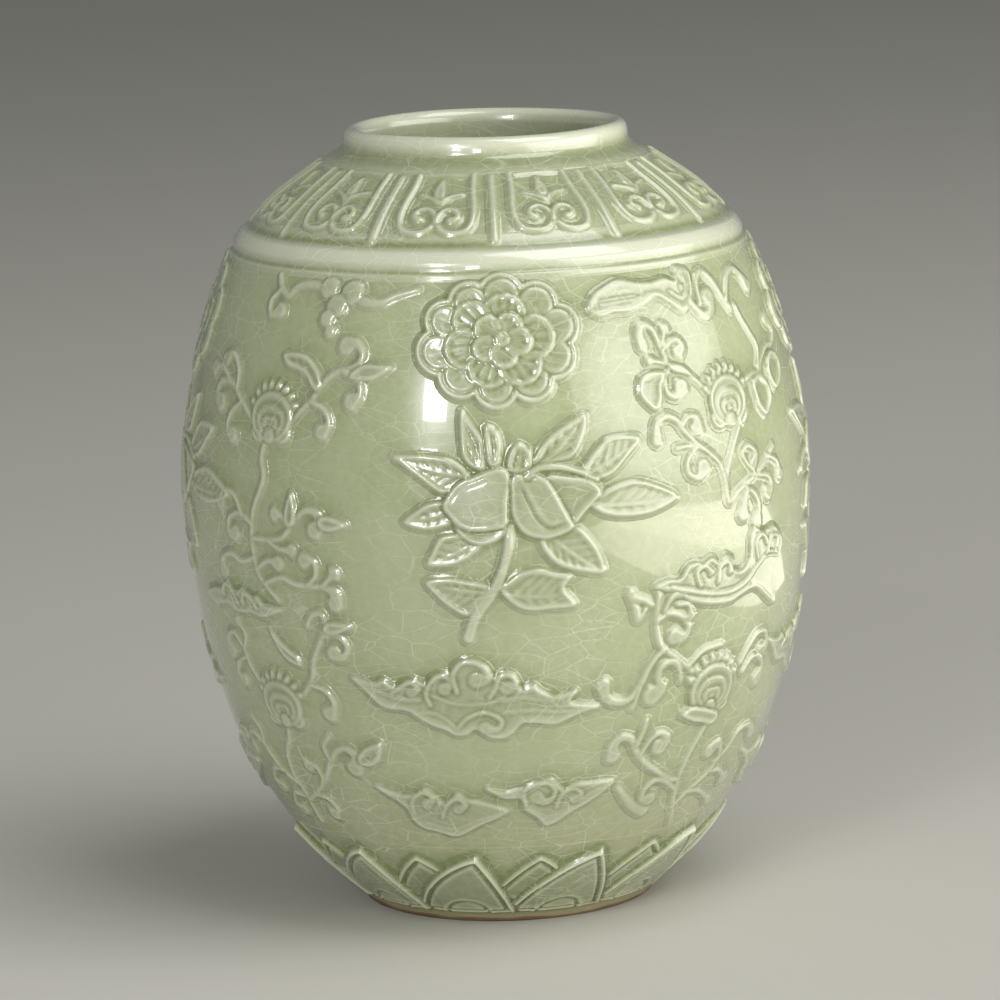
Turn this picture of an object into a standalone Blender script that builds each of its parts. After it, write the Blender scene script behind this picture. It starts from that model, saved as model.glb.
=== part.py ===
"""Celadon vase with moulded relief, built from its potter's members.

Metres, +Z up. The foot stands on z = 0 and one peony panel faces -Y.
Every member is its own closed body, a thin seam away from the wall it is luted to.
"""
import math

import bmesh
import bpy
from mathutils import Vector
from mathutils.geometry import delaunay_2d_cdt

MM = 0.001
HEIGHT = 240.0 * MM
SEAM = 0.35 * MM
SEGMENTS = 48
PANELS = 4
LAPPETS = 12
PETALS = 11

# Outer wall: height and radius at the places that set the curve.
WALL_CURVE = (
    (4.0, 45.6), (12.0, 54.4), (22.0, 63.6), (34.0, 72.8), (49.0, 80.8), (66.0, 87.0),
    (86.0, 91.7), (108.0, 94.8), (130.0, 95.8), (152.0, 94.1), (172.0, 90.2),
    (190.0, 84.6), (202.0, 79.2), (210.0, 74.4), (219.0, 65.4), (226.0, 56.6), (231.0, 48.4),
)
WALL_THICKNESS = 6.0 * MM
WALL_BOTTOM = 4.0 * MM
WALL_TOP = 231.0 * MM
FLOOR_TOP = 11.5 * MM
MOUTH_RADIUS = 38.0 * MM
LIP_RADIUS = 43.8 * MM
NECK_RADIUS = 43.2 * MM
FOOT_OUTER = 45.4 * MM
FOOT_INNER = 37.5 * MM
CORDON_LOW = 205.2 * MM
CORDON_HIGH = 212.2 * MM
CORDON_BEAD = 1.3 * MM
BAND_LOW = 4.6 * MM
PETAL_PEAK = 26.0 * MM
FIRST_PETAL = math.radians(-9.6)
PETAL_LIFT = 2.3 * MM
BACK_PETAL_LIFT = 1.2 * MM
RELIEF_EDGE = 0.7 * MM
RELIEF_TOP = 2.0 * MM

GLAZE = (0.36, 0.42, 0.26)
GLAZE_LIGHT = (0.48, 0.52, 0.37)
GLAZE_DEEP = (0.28, 0.33, 0.18)
BARE_CLAY = (0.30, 0.22, 0.13)


def clear_scene():
    for item in list(bpy.data.objects):
        bpy.data.objects.remove(item, do_unlink=True)


def make_material(name, colour, roughness):
    material = bpy.data.materials.new(name)
    material.use_nodes = True
    shader = material.node_tree.nodes["Principled BSDF"]
    shader.inputs["Base Color"].default_value = (*colour, 1.0)
    shader.inputs["Roughness"].default_value = roughness
    shader.inputs["Metallic"].default_value = 0.0
    return material


def add_object(name, mesh_data, colour=GLAZE, roughness=0.12):
    mesh = bpy.data.meshes.new(name)
    bmesh.ops.recalc_face_normals(mesh_data, faces=mesh_data.faces)
    for face in mesh_data.faces:
        face.smooth = True
    mesh_data.to_mesh(mesh)
    mesh_data.free()
    mesh.set_sharp_from_angle(angle=math.radians(40.0))
    mesh.materials.append(make_material(name, colour, roughness))
    item = bpy.data.objects.new(name, mesh)
    bpy.context.scene.collection.objects.link(item)
    return item


# ---- the wall as a surface: radius, slope, and points lifted off it ----

def curve_slope(index):
    low = WALL_CURVE[max(index - 1, 0)]
    high = WALL_CURVE[min(index + 1, len(WALL_CURVE) - 1)]
    return (high[1] - low[1]) / (high[0] - low[0])


def wall_radius(height):
    level = min(max(height / MM, WALL_CURVE[0][0]), WALL_CURVE[-1][0])
    index = 0
    while index < len(WALL_CURVE) - 2 and level > WALL_CURVE[index + 1][0]:
        index += 1
    low, high = WALL_CURVE[index], WALL_CURVE[index + 1]
    span = high[0] - low[0]
    part = (level - low[0]) / span
    square, cube = part * part, part * part * part
    value = (2.0 * cube - 3.0 * square + 1.0) * low[1]
    value += (cube - 2.0 * square + part) * span * curve_slope(index)
    value += (3.0 * square - 2.0 * cube) * high[1]
    value += (cube - square) * span * curve_slope(index + 1)
    return value * MM


def wall_lift(height, lift):
    """Radius and height of a point that stands off the wall by lift."""
    step = 0.5 * MM
    rise = (wall_radius(height + step) - wall_radius(height - step)) / (2.0 * step)
    length = math.hypot(1.0, rise)
    return wall_radius(height) + lift / length, height - lift * rise / length


def wall_point(angle, height, lift):
    radius, level = wall_lift(height, lift)
    return Vector((radius * math.sin(angle), -radius * math.cos(angle), level))


# ---- turned members: a closed section spun round the axis ----

def spin_section(name, section, colour=GLAZE, roughness=0.12):
    data = bmesh.new()
    rows = []
    for radius, level in section:
        if radius < 1e-6:
            rows.append([data.verts.new((0.0, 0.0, level))])
            continue
        row = []
        for step in range(SEGMENTS):
            angle = 2.0 * math.pi * step / SEGMENTS
            row.append(data.verts.new((radius * math.sin(angle), -radius * math.cos(angle), level)))
        rows.append(row)
    for index, row in enumerate(rows):
        other = rows[(index + 1) % len(rows)]
        for step in range(SEGMENTS):
            after = (step + 1) % SEGMENTS
            if len(row) == 1 and len(other) == 1:
                continue
            if len(row) == 1:
                data.faces.new((row[0], other[step], other[after]))
            elif len(other) == 1:
                data.faces.new((row[step], other[0], row[after]))
            else:
                data.faces.new((row[step], other[step], other[after], row[after]))
    return add_object(name, data, colour, roughness)


def make_body_wall():
    outer_rows = 18
    inner_rows = 10
    section = [(0.0, WALL_BOTTOM)]
    for index in range(outer_rows + 1):
        level = WALL_BOTTOM + (WALL_TOP - WALL_BOTTOM) * index / outer_rows
        section.append((wall_radius(level), level))
    low, high = FLOOR_TOP + 6.0 * MM, WALL_TOP - 3.5 * MM
    section.append((MOUTH_RADIUS + 0.6 * MM, WALL_TOP))
    section.append((MOUTH_RADIUS + 0.6 * MM, WALL_TOP - 3.0 * MM))
    for index in range(1, inner_rows + 1):
        level = high + (low - high) * index / inner_rows
        section.append(wall_lift(level, -WALL_THICKNESS))
    radius, level = section[-1]
    section.append((radius - 5.0 * MM, FLOOR_TOP + 1.5 * MM))
    section.append((radius - 11.0 * MM, FLOOR_TOP))
    section.append((0.0, FLOOR_TOP))
    return spin_section("body_wall", section)


def make_neck_ring():
    base = WALL_TOP + SEAM
    section = [
        (MOUTH_RADIUS + 0.6 * MM, base),
        (47.4 * MM, base),
        (45.0 * MM, base + 1.0 * MM),
        (NECK_RADIUS + 0.4 * MM, base + 2.0 * MM),
        (NECK_RADIUS, base + 3.0 * MM),
        (LIP_RADIUS - 0.3 * MM, base + 4.2 * MM),
    ]
    centre_radius, centre_level, across = LIP_RADIUS - 2.9 * MM, HEIGHT - 3.2 * MM, 2.9 * MM
    for index in range(6):
        turn = math.pi * index / 5.0
        level = centre_level + 3.2 * MM * math.sin(turn)
        section.append((centre_radius + across * math.cos(turn), level))
    return spin_section("neck_ring", section, GLAZE_LIGHT)


def make_cordon():
    steps = 6
    section = []
    for index in range(steps + 1):
        level = CORDON_LOW + (CORDON_HIGH - CORDON_LOW) * index / steps
        bead = CORDON_BEAD * math.sin(math.pi * index / steps)
        section.append(wall_lift(level, SEAM + 0.4 * MM + bead))
    for index in range(steps, -1, -2):
        level = CORDON_LOW + (CORDON_HIGH - CORDON_LOW) * index / steps
        section.append(wall_lift(level, SEAM))
    return spin_section("shoulder_cordon", section, GLAZE_LIGHT)


def make_foot_ring():
    top = WALL_BOTTOM - SEAM
    section = [
        (FOOT_INNER + 0.7 * MM, 0.0),
        (FOOT_OUTER - 1.0 * MM, 0.0),
        (FOOT_OUTER - 0.2 * MM, 0.8 * MM),
        (FOOT_OUTER, top),
        (FOOT_INNER, top),
        (FOOT_INNER, 0.7 * MM),
    ]
    return spin_section("foot_ring", section, BARE_CLAY, 0.8)


# ---- lotus petal band round the foot ----

def petal_side(offset, spread, bend):
    """Height of a petal edge at an angle off its tip, in degrees; larger bend is more pointed."""
    return PETAL_PEAK - MM * (math.degrees(max(offset, 0.0)) / spread) ** (1.0 / bend)


def petal_edges(angle):
    """Top of the front petals and of the back petals; each front petal covers its right neighbour."""
    pitch = 2.0 * math.pi / PETALS
    offset = (angle - FIRST_PETAL) % pitch
    front = max(petal_side(offset, 0.46, 1.0), petal_side(pitch - offset, 3.05, 0.7))
    back = petal_side(abs(offset - 0.5 * pitch), 2.3, 0.62)
    lowest = BAND_LOW + 2.0 * MM
    return max(front, lowest), max(back, lowest)


def make_petal_band():
    columns = PETALS * 8
    rows = 4
    data = bmesh.new()
    face_grid, back_grid = [], []
    for column in range(columns):
        angle = FIRST_PETAL + 2.0 * math.pi * column / columns
        front, back = petal_edges(angle)
        top = max(front, back)
        face_row, back_row = [], []
        for row in range(rows + 1):
            level = BAND_LOW + (top - BAND_LOW) * row / rows
            lift = PETAL_LIFT if level <= front + 0.1 * MM else BACK_PETAL_LIFT
            if row == rows:
                lift *= 0.7
            face_row.append(data.verts.new(wall_point(angle, level, SEAM + lift)))
            back_row.append(data.verts.new(wall_point(angle, level, SEAM)))
        face_grid.append(face_row)
        back_grid.append(back_row)
    for column in range(columns):
        after = (column + 1) % columns
        for grid in (face_grid, back_grid):
            for row in range(rows):
                here, there = grid[column], grid[after]
                data.faces.new((here[row], there[row], there[row + 1], here[row + 1]))
        for row in (0, rows):
            data.faces.new((face_grid[column][row], face_grid[after][row],
                            back_grid[after][row], back_grid[column][row]))
    return add_object("petal_band", data)


# ---- applied reliefs: flat outlines, joined, raised and wrapped on the wall ----

def smooth_line(points, spacing, closed=False):
    """Even points along a curve through the given ones."""
    count = len(points)
    result = []
    for index in range(count if closed else count - 1):
        if closed:
            four = [points[(index + step) % count] for step in (-1, 0, 1, 2)]
        else:
            four = [points[min(max(index + step, 0), count - 1)] for step in (-1, 0, 1, 2)]
        before, start, end, after = (Vector(point) for point in four)
        parts = max(1, round((end - start).length / spacing))
        for part in range(parts):
            t = part / parts
            pull = (end - before) * t + (2.0 * before - 5.0 * start + 4.0 * end - after) * t * t
            pull += (3.0 * start - before - 3.0 * end + after) * t * t * t
            result.append(start + 0.5 * pull)
    if not closed:
        result.append(Vector(points[-1]))
    return result


def stroke(points, start_width, end_width, spacing=8.0):
    """Outline of a tapering stem with cut ends."""
    line = smooth_line(points, spacing)
    left, right = [], []
    for index, point in enumerate(line):
        along = line[min(index + 1, len(line) - 1)] - line[max(index - 1, 0)]
        along.normalize()
        side = Vector((-along.y, along.x))
        part = index / (len(line) - 1)
        half = 0.5 * (start_width + (end_width - start_width) * part)
        left.append(point + side * half)
        right.append(point - side * half)
    return right + left[::-1]


def disc(centre, radius, corners=6):
    result = []
    for index in range(corners):
        turn = 2.0 * math.pi * (index + 0.5) / corners
        result.append(Vector(centre) + Vector((math.cos(turn), math.sin(turn))) * radius)
    return result


def leaf(base, tip, width, lean=0.0):
    """Outline of a pointed leaf, fuller on one side when it leans."""
    base, tip = Vector(base), Vector(tip)
    along = tip - base
    side = Vector((-along.y, along.x)).normalized() * width * 0.5
    left = [base + along * 0.30 + side * (0.95 + lean), base + along * 0.68 + side * (0.72 + lean)]
    right = [base + along * 0.68 - side * (0.72 - lean), base + along * 0.30 - side * (0.95 - lean)]
    return [base - side * 0.25, *right[::-1], tip, *left[::-1], base + side * 0.25]


def curl(points, start_width, head):
    """A stem that ends in a round head."""
    return [stroke(points, start_width, head), disc(points[-1], head * 0.95)]


def outline_distance(point, edges):
    best = 1e9
    for start, end in edges:
        span = end - start
        part = (point - start).dot(span) / max(span.length_squared, 1e-12)
        best = min(best, (point - start - span * min(max(part, 0.0), 1.0)).length)
    return best


def turned_left(outline):
    """The outline run anticlockwise."""
    area = 0.0
    for index, start in enumerate(outline):
        end = outline[(index + 1) % len(outline)]
        area += start[0] * end[1] - end[0] * start[1]
    return list(outline) if area > 0.0 else list(outline)[::-1]


def join_outlines(outlines, inner_points):
    """Triangles of the shape that all the outlines cover together."""
    points, loops = [], []
    for outline in map(turned_left, outlines):
        loops.append(list(range(len(points), len(points) + len(outline))))
        points.extend(Vector(point) for point in outline)
    points.extend(Vector(point) for point in inner_points)
    flat, _, faces, _, _, sources = delaunay_2d_cdt(points, [], loops, 1, 0.02)
    kept = [face for face, source in zip(faces, sources) if source]
    return [Vector(point) for point in flat], kept


def boundary_edges(faces):
    count = {}
    for face in faces:
        for index, start in enumerate(face):
            end = face[(index + 1) % len(face)]
            key = (min(start, end), max(start, end))
            count[key] = count.get(key, 0) + 1
    return [key for key, uses in count.items() if uses == 1]


def build_relief(name, panel_angle, outlines, inner_points=(), top=RELIEF_TOP, shape=None):
    flat, faces = join_outlines(outlines, inner_points)
    rim = boundary_edges(faces)
    rim_lines = [(flat[start], flat[end]) for start, end in rim]
    rim_points = {index for edge in rim for index in edge}
    data = bmesh.new()
    upper, lower = {}, {}
    for index in sorted({corner for face in faces for corner in face}):
        across, level = flat[index].x * MM, flat[index].y * MM
        angle = panel_angle + across / wall_radius(level)
        raised = RELIEF_EDGE
        if index not in rim_points:
            inward = outline_distance(flat[index], rim_lines)
            raised = shape(flat[index]) if shape else min(top, RELIEF_EDGE + 0.8 * MM * inward)
        upper[index] = data.verts.new(wall_point(angle, level, SEAM + raised))
        lower[index] = data.verts.new(wall_point(angle, level, SEAM))
    for face in faces:
        data.faces.new([upper[corner] for corner in face])
        data.faces.new([lower[corner] for corner in reversed(face)])
    for start, end in rim:
        data.faces.new((upper[start], upper[end], lower[end], lower[start]))
    return add_object(name, data, GLAZE_LIGHT)


def ring_points(centre, radius, count):
    return [Vector(centre) + Vector((math.cos(turn), math.sin(turn))) * radius
            for turn in (2.0 * math.pi * index / count for index in range(count))]


FLOWER_CENTRE = (0.5, 184.4)


def flower_outlines():
    lobes, steps = 10, 50
    edge = []
    for index in range(steps):
        turn = 2.0 * math.pi * index / steps
        reach = 21.6 + 1.5 * abs(math.sin(0.5 * lobes * turn))
        edge.append((FLOWER_CENTRE[0] + reach * 1.04 * math.cos(turn),
                     FLOWER_CENTRE[1] + reach * 0.84 * math.sin(turn)))
    inner = ring_points(FLOWER_CENTRE, 17.0, 20) + ring_points(FLOWER_CENTRE, 11.0, 14)
    inner += ring_points(FLOWER_CENTRE, 5.5, 8) + [Vector(FLOWER_CENTRE)]
    return [edge], inner


def flower_shape(point):
    """Petal ring, hollow between the petals and the raised heart."""
    reach = (point - Vector(FLOWER_CENTRE)).length
    if reach > 14.0:
        return 2.2 * MM
    if reach > 8.0:
        return 1.3 * MM
    return 2.6 * MM if reach > 1.0 else 1.8 * MM


def spray_outlines():
    stem = [(-12.0, 99.5), (-8.5, 108.0), (-3.5, 116.0), (-0.5, 124.0), (0.5, 134.0), (1.0, 145.0)]
    outlines = [
        stroke(stem, 3.6, 3.0),
        leaf((-12.0, 146.0), (-32.5, 152.5), 10.0),
        leaf((-15.5, 139.5), (-30.0, 133.5), 9.0),
        leaf((-4.0, 130.0), (-24.0, 121.3), 8.0),
        leaf((-5.0, 113.5), (-24.5, 114.0), 9.5),
        leaf((-4.5, 113.5), (19.0, 107.0), 10.5),
        leaf((9.0, 129.5), (28.0, 117.0), 10.5),
        leaf((14.0, 138.5), (52.5, 136.3), 10.0),
        leaf((16.0, 142.5), (41.0, 154.6), 8.5),
        leaf((6.0, 144.0), (24.0, 163.0), 8.5),
        leaf((-5.0, 144.0), (-12.0, 165.5), 7.0),
        leaf((-2.0, 143.0), (-3.0, 160.0), 4.5),
        disc((-9.0, 138.0), 9.4, 14),
        disc((10.0, 137.0), 8.8, 14),
        leaf((10.0, 140.5), (27.5, 142.3), 11.0, -0.25),
    ]
    inner = [(-9.0, 138.0), (10.0, 137.0), (1.0, 138.0), (-20.0, 149.0), (33.0, 137.5), (19.0, 123.0),
             (7.0, 111.0), (-15.0, 113.8), (-14.0, 125.8), (15.0, 153.0), (28.0, 148.5), (-23.0, 136.5)]
    return outlines, inner


def cloud_large_outlines():
    edge = [(-47.4, 84.6), (-38.5, 85.6), (-30.0, 84.6), (-23.4, 84.2), (-22.0, 87.4), (-17.0, 88.4),
            (-12.0, 91.6), (-6.6, 88.6), (-2.0, 88.0), (2.0, 84.8), (10.0, 80.8), (18.0, 80.6),
            (26.0, 75.8), (12.8, 71.2), (4.0, 71.6), (-2.6, 67.4), (-10.8, 70.4), (-16.0, 68.8),
            (-23.0, 72.2), (-32.0, 75.6), (-39.7, 79.2)]
    inner = [(-30.0, 80.0), (-21.0, 78.5), (-12.0, 80.0), (-3.0, 77.0), (8.0, 76.0), (17.0, 76.0),
             (-12.0, 86.0)]
    return [edge], inner


def cloud_pair_outlines():
    west = [(-40.4, 49.2), (-32.5, 48.4), (-26.5, 50.7), (-21.0, 46.8), (-16.5, 48.2), (-11.0, 45.6),
            (-2.6, 43.4), (-9.0, 37.6), (-16.3, 34.8), (-25.8, 36.2), (-31.0, 40.2), (-33.5, 45.0)]
    east = [(-6.8, 50.4), (2.5, 49.8), (9.7, 53.2), (14.0, 50.0), (21.0, 50.8), (29.6, 49.0), (23.0, 43.0),
            (17.4, 40.6), (8.9, 38.2), (3.0, 43.4), (-3.0, 42.0), (-6.5, 43.2), (-4.0, 46.5)]
    inner = [(-26.0, 43.5), (-17.0, 42.0), (-9.0, 42.0), (4.0, 46.5), (12.0, 45.0), (20.0, 46.0)]
    return [west, east], inner


def hanging_outlines(side):
    """Scroll of ribbon that hangs under the cordon, beside a peony."""
    outlines = curl([(side * 43.0, 199.6), (side * 37.0, 198.0), (side * 28.0, 196.5),
                     (side * 19.0, 199.5), (side * 10.0, 199.5)], 2.4, 3.4)
    outlines += curl([(side * 11.0, 200.0), (side * 3.0, 198.5), (side * 2.0, 194.5),
                      (side * -3.0, 196.5), (side * -6.5, 202.0)], 3.2, 2.6)
    outlines += curl([(side * 20.0, 198.5), (side * 18.5, 192.0), (side * 17.8, 188.5)], 3.0, 4.4)
    return outlines, []


def flower_small(centre):
    edge = []
    for index in range(16):
        turn = 2.0 * math.pi * index / 16
        reach = 8.2 + (0.9 if index % 2 else 0.0)
        edge.append((centre[0] + reach * math.cos(turn), centre[1] + reach * 0.85 * math.sin(turn)))
    return edge


def vine_upper_outlines(side):
    def place(points):
        return [(side * x, z) for x, z in points]

    outlines = [flower_small((side * 0.5, 161.0))]
    outlines.append(stroke(place([(0.0, 156.0), (-0.8, 147.0), (-4.0, 135.0), (-5.6, 125.0),
                                  (-3.5, 113.0), (3.5, 107.0)]), 2.6, 3.0))
    outlines.append(stroke(place([(6.0, 160.0), (13.0, 164.0), (19.0, 171.5), (29.0, 176.5)]), 2.6, 3.0))
    outlines.append(stroke(place([(27.0, 175.5), (41.0, 177.4)]), 4.4, 0.8))
    outlines += curl(place([(28.0, 176.0), (30.0, 181.0), (26.5, 184.5)]), 2.8, 4.4)
    outlines += curl(place([(28.0, 176.0), (32.4, 171.6), (30.0, 167.5)]), 2.8, 4.0)
    outlines += curl(place([(13.0, 164.5), (20.5, 164.5), (21.0, 158.5)]), 2.8, 4.0)
    outlines.append(leaf(place([(17.5, 171.0)])[0], place([(3.0, 178.5)])[0], 4.6))
    outlines.append(stroke(place([(-5.4, 123.5), (6.0, 127.0), (13.5, 133.0), (18.5, 135.0)]), 2.4, 3.0))
    outlines += curl(place([(15.0, 134.0), (21.0, 133.0), (20.4, 128.5)]), 3.0, 3.8)
    outlines.append(stroke(place([(17.0, 134.5), (31.0, 132.0)]), 3.6, 0.8))
    outlines.append(leaf(place([(8.5, 128.5)])[0], place([(11.0, 140.0)])[0], 4.0))
    return outlines, []


def vine_lower_outlines(side):
    def place(points):
        return [(side * x, z) for x, z in points]

    outlines = [flower_small((side * -1.5, 73.5))]
    outlines.append(stroke(place([(2.5, 77.0), (12.5, 84.0), (17.0, 94.0),
                                  (19.8, 101.5), (18.0, 105.5)]), 3.0, 3.0))
    outlines += curl(place([(17.0, 93.5), (25.5, 96.0), (24.6, 90.5)]), 2.8, 3.8)
    outlines += curl(place([(11.0, 82.0), (16.5, 78.5), (16.2, 73.5)]), 2.8, 3.6)
    outlines.append(leaf(place([(8.0, 81.0)])[0], place([(-1.0, 96.5)])[0], 5.0))
    outlines.append(leaf(place([(18.6, 99.0)])[0], place([(27.5, 101.0)])[0], 4.4))
    outlines.append(stroke(place([(-3.5, 69.0), (-7.5, 60.0), (-7.0, 50.0),
                                  (-6.2, 42.0), (-6.0, 33.5)]), 2.8, 2.4))
    outlines.append(stroke(place([(-6.2, 40.5), (2.0, 46.0), (8.0, 52.5), (15.0, 59.0)]), 2.4, 3.0))
    outlines += curl(place([(13.0, 57.5), (20.5, 60.5), (20.6, 54.0)]), 3.0, 3.8)
    outlines += curl(place([(4.0, 48.5), (0.0, 52.5), (2.5, 56.0)]), 2.4, 3.2)
    outlines += curl(place([(0.5, 44.5), (5.5, 43.5), (5.5, 39.5)]), 2.4, 3.0)
    return outlines, []


def lappet_outlines():
    """Ruyi-headed lappet: two lobes below a cusp, and a bud inside."""
    outlines = []
    for side in (-1.0, 1.0):
        outlines.append(stroke([(side * 7.5, 229.4), (side * 9.6, 223.0), (side * 10.4, 217.8),
                                (side * 7.8, 214.8), (side * 3.4, 214.4), (side * -0.2, 216.8)], 1.4, 1.9))
        outlines.append(stroke([(side * -0.4, 216.4), (side * 2.6, 218.4), (side * 5.4, 219.8)], 1.6, 1.8))
    outlines.append(stroke([(0.0, 215.8), (0.0, 221.0)], 2.0, 1.4))
    outlines.append([(0.0, 220.4), (2.6, 222.8), (0.9, 224.4), (0.0, 228.6), (-0.9, 224.4), (-2.6, 222.8)])
    return outlines, []


def bar_outlines():
    edge = [(-1.5, 213.2), (1.5, 213.2), (1.2, 221.0), (0.9, 229.0), (-0.9, 229.0), (-1.2, 221.0)]
    return [edge], [(0.0, 221.0)]


def make_reliefs():
    for panel in range(PANELS):
        angle = 2.0 * math.pi * panel / PANELS
        number = f"{panel + 1}"
        build_relief("peony_flower_" + number, angle, *flower_outlines(), shape=flower_shape)
        build_relief("peony_spray_" + number, angle, *spray_outlines())
        build_relief("cloud_large_" + number, angle, *cloud_large_outlines())
        build_relief("cloud_pair_" + number, angle, *cloud_pair_outlines())
        between = angle + math.pi / PANELS
        side = -1.0 if panel % 2 == 0 else 1.0
        build_relief("hanging_scroll_" + number, between, *hanging_outlines(side))
        build_relief("vine_upper_" + number, between, *vine_upper_outlines(side))
        build_relief("vine_lower_" + number, between, *vine_lower_outlines(side))
    for index in range(LAPPETS):
        pitch = 2.0 * math.pi / LAPPETS
        number = f"{index + 1:02d}"
        build_relief("lappet_" + number, pitch * (index + 0.5), *lappet_outlines(), top=1.4 * MM)
        build_relief("bar_" + number, pitch * index, *bar_outlines(), top=1.2 * MM)


clear_scene()
make_body_wall()
make_neck_ring()
make_cordon()
make_foot_ring()
make_petal_band()
make_reliefs()
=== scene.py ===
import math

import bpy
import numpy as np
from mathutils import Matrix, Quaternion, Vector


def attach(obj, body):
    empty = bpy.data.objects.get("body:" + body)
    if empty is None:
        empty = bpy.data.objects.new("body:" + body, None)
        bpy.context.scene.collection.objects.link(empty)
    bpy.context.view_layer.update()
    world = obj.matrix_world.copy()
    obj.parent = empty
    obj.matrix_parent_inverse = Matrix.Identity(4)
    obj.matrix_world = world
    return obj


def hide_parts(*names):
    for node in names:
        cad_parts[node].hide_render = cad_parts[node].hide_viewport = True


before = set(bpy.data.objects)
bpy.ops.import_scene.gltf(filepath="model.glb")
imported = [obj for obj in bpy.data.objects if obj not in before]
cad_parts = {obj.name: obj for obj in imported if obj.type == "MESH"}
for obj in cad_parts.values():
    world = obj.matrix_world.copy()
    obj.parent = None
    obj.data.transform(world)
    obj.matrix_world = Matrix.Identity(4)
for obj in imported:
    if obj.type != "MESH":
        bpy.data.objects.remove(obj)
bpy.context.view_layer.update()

# ---- body wall ----
# The wall is one cast stoneware shell about 6 mm thick with a slightly raised floor inside.
# It is fettled while leather hard, so its outline is even but not perfectly round, and then
# the whole vase is dipped in a thick green glaze that crazes as it cools.

MM = 0.001
WALL_THICKNESS = 6.0
WALL_COLUMNS, OUTER_ROWS, INNER_ROWS = 360, 190, 46
FLOOR_TOP = 11.5
SEAT_RADII = (12.0, 30.0, 44.5)
MOUTH_CURVE = ((44.0, 231.0), (38.7, 230.9), (38.6, 229.4))
FLOOR_CURVE = ((52.0, 14.2), (49.5, 12.8), (46.5, 12.0), (42.0, 11.7), (34.0, 11.5), (22.0, 11.5),
               (10.0, 11.5))
OUTLINE_FROM, OUTLINE_STEPS = 40.0, 1200

wall_corners = np.array([corner.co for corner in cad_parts["body_wall"].data.vertices]) / MM
wall_reach = np.hypot(wall_corners[:, 0], wall_corners[:, 1])


def outermost(section):
    """The outer line of a closed section of (height, radius) points, from foot to shoulder."""
    line = []
    for level, radius in sorted(section):
        while len(line) > 1:
            rise, run = line[-1][1] - line[-2][1], line[-1][0] - line[-2][0]
            if rise * (level - line[-2][0]) > (radius - line[-2][1]) * run:
                break
            line.pop()
        line.append((level, radius))
    return np.array(line)


def flowing_line(x, y, at):
    """Smooth values at the places asked for, through the given points."""
    slope = np.gradient(y, x)
    index = np.clip(np.searchsorted(x, at, side="right") - 1, 0, len(x) - 2)
    span = x[index + 1] - x[index]
    part = np.clip((at - x[index]) / span, 0.0, 1.0)
    square, cube = part * part, part * part * part
    value = (2 * cube - 3 * square + 1) * y[index] + (cube - 2 * square + part) * span * slope[index]
    return value + (3 * square - 2 * cube) * y[index + 1] + (cube - square) * span * slope[index + 1]


section = [(round(z, 3), round(r, 3)) for z, r in zip(wall_corners[:, 2], wall_reach)
           if r > OUTLINE_FROM]
outer = outermost(set(section))
WALL_LOW, WALL_HIGH = outer[0, 0], outer[-1, 0]
levels = np.linspace(WALL_LOW, WALL_HIGH, OUTLINE_STEPS)
radii = flowing_line(outer[:, 0], outer[:, 1], levels)
slopes = np.gradient(radii, levels)
along_wall = np.concatenate([[0.0], np.cumsum(np.hypot(np.diff(levels), np.diff(radii)))]) + WALL_LOW


def full_circle(columns):
    """Evenly spaced turns round the axis; turn 0 faces the front."""
    return np.linspace(0.0, 2.0 * math.pi, columns, endpoint=False)


def round_row(turn, radius, level):
    """Points round the axis, in metres; the radius and the level may change from turn to turn."""
    return np.stack([radius * np.sin(turn), -radius * np.cos(turn), np.full_like(turn, level)], -1) * MM


def unevenness(turn, level):
    """How far the hand-fettled wall stands off a perfect round, in mm."""
    value = 0.10 * np.sin(3 * turn + 0.031 * level + 1.3) + 0.06 * np.sin(7 * turn - 0.060 * level + 0.4)
    value += 0.045 * np.sin(11 * turn + 0.100 * level + 2.2) + 0.04 * np.sin(5 * turn + 0.170 * level)
    near_foot, near_neck = (level - 4.0) / 20.0, (231.0 - level) / 15.0
    return value * np.clip(near_foot, 0.0, 1.0) * np.clip(near_neck, 0.0, 1.0)


def on_wall(turn, level, lift):
    """Points that stand off the wall by lift mm."""
    radius = np.interp(level, levels, radii)
    slope = np.interp(level, levels, slopes)
    length = np.hypot(1.0, slope)
    lift = lift + unevenness(turn, level)
    radius = radius + lift / length
    return round_row(turn, radius, level - lift * slope / length)


def make_mesh(name, points, face_sets, flat_from=None):
    """A mesh from rows of corner numbers; faces from flat_from onwards are shaded flat."""
    mesh = bpy.data.meshes.new(name)
    points = points.reshape(-1, 3)
    mesh.vertices.add(len(points))
    mesh.vertices.foreach_set("co", points.ravel().astype(np.float32))
    corners = np.concatenate([faces.ravel() for faces in face_sets]).astype(np.int32)
    sizes = np.concatenate([np.full(len(faces), faces.shape[1]) for faces in face_sets])
    mesh.loops.add(len(corners))
    mesh.loops.foreach_set("vertex_index", corners)
    mesh.polygons.add(len(sizes))
    mesh.polygons.foreach_set("loop_start", (np.cumsum(sizes) - sizes).astype(np.int32))
    smooth = np.ones(len(sizes), bool)
    if flat_from is not None:
        smooth[flat_from:] = False
    mesh.polygons.foreach_set("use_smooth", smooth)
    mesh.update(calc_edges=True)
    mesh.validate()
    piece = bpy.data.objects.new(name, mesh)
    bpy.context.scene.collection.objects.link(piece)
    return piece


def grid_faces(columns, rows, closed):
    """Four-cornered faces of a grid that runs round the axis, and round its section if closed."""
    column, row = np.meshgrid(np.arange(columns), np.arange(rows if closed else rows - 1), indexing="ij")
    column, row = column.ravel(), row.ravel()
    after, over = (column + 1) % columns, (row + 1) % rows
    return np.stack([column * rows + row, after * rows + row, after * rows + over, column * rows + over], 1)


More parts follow.
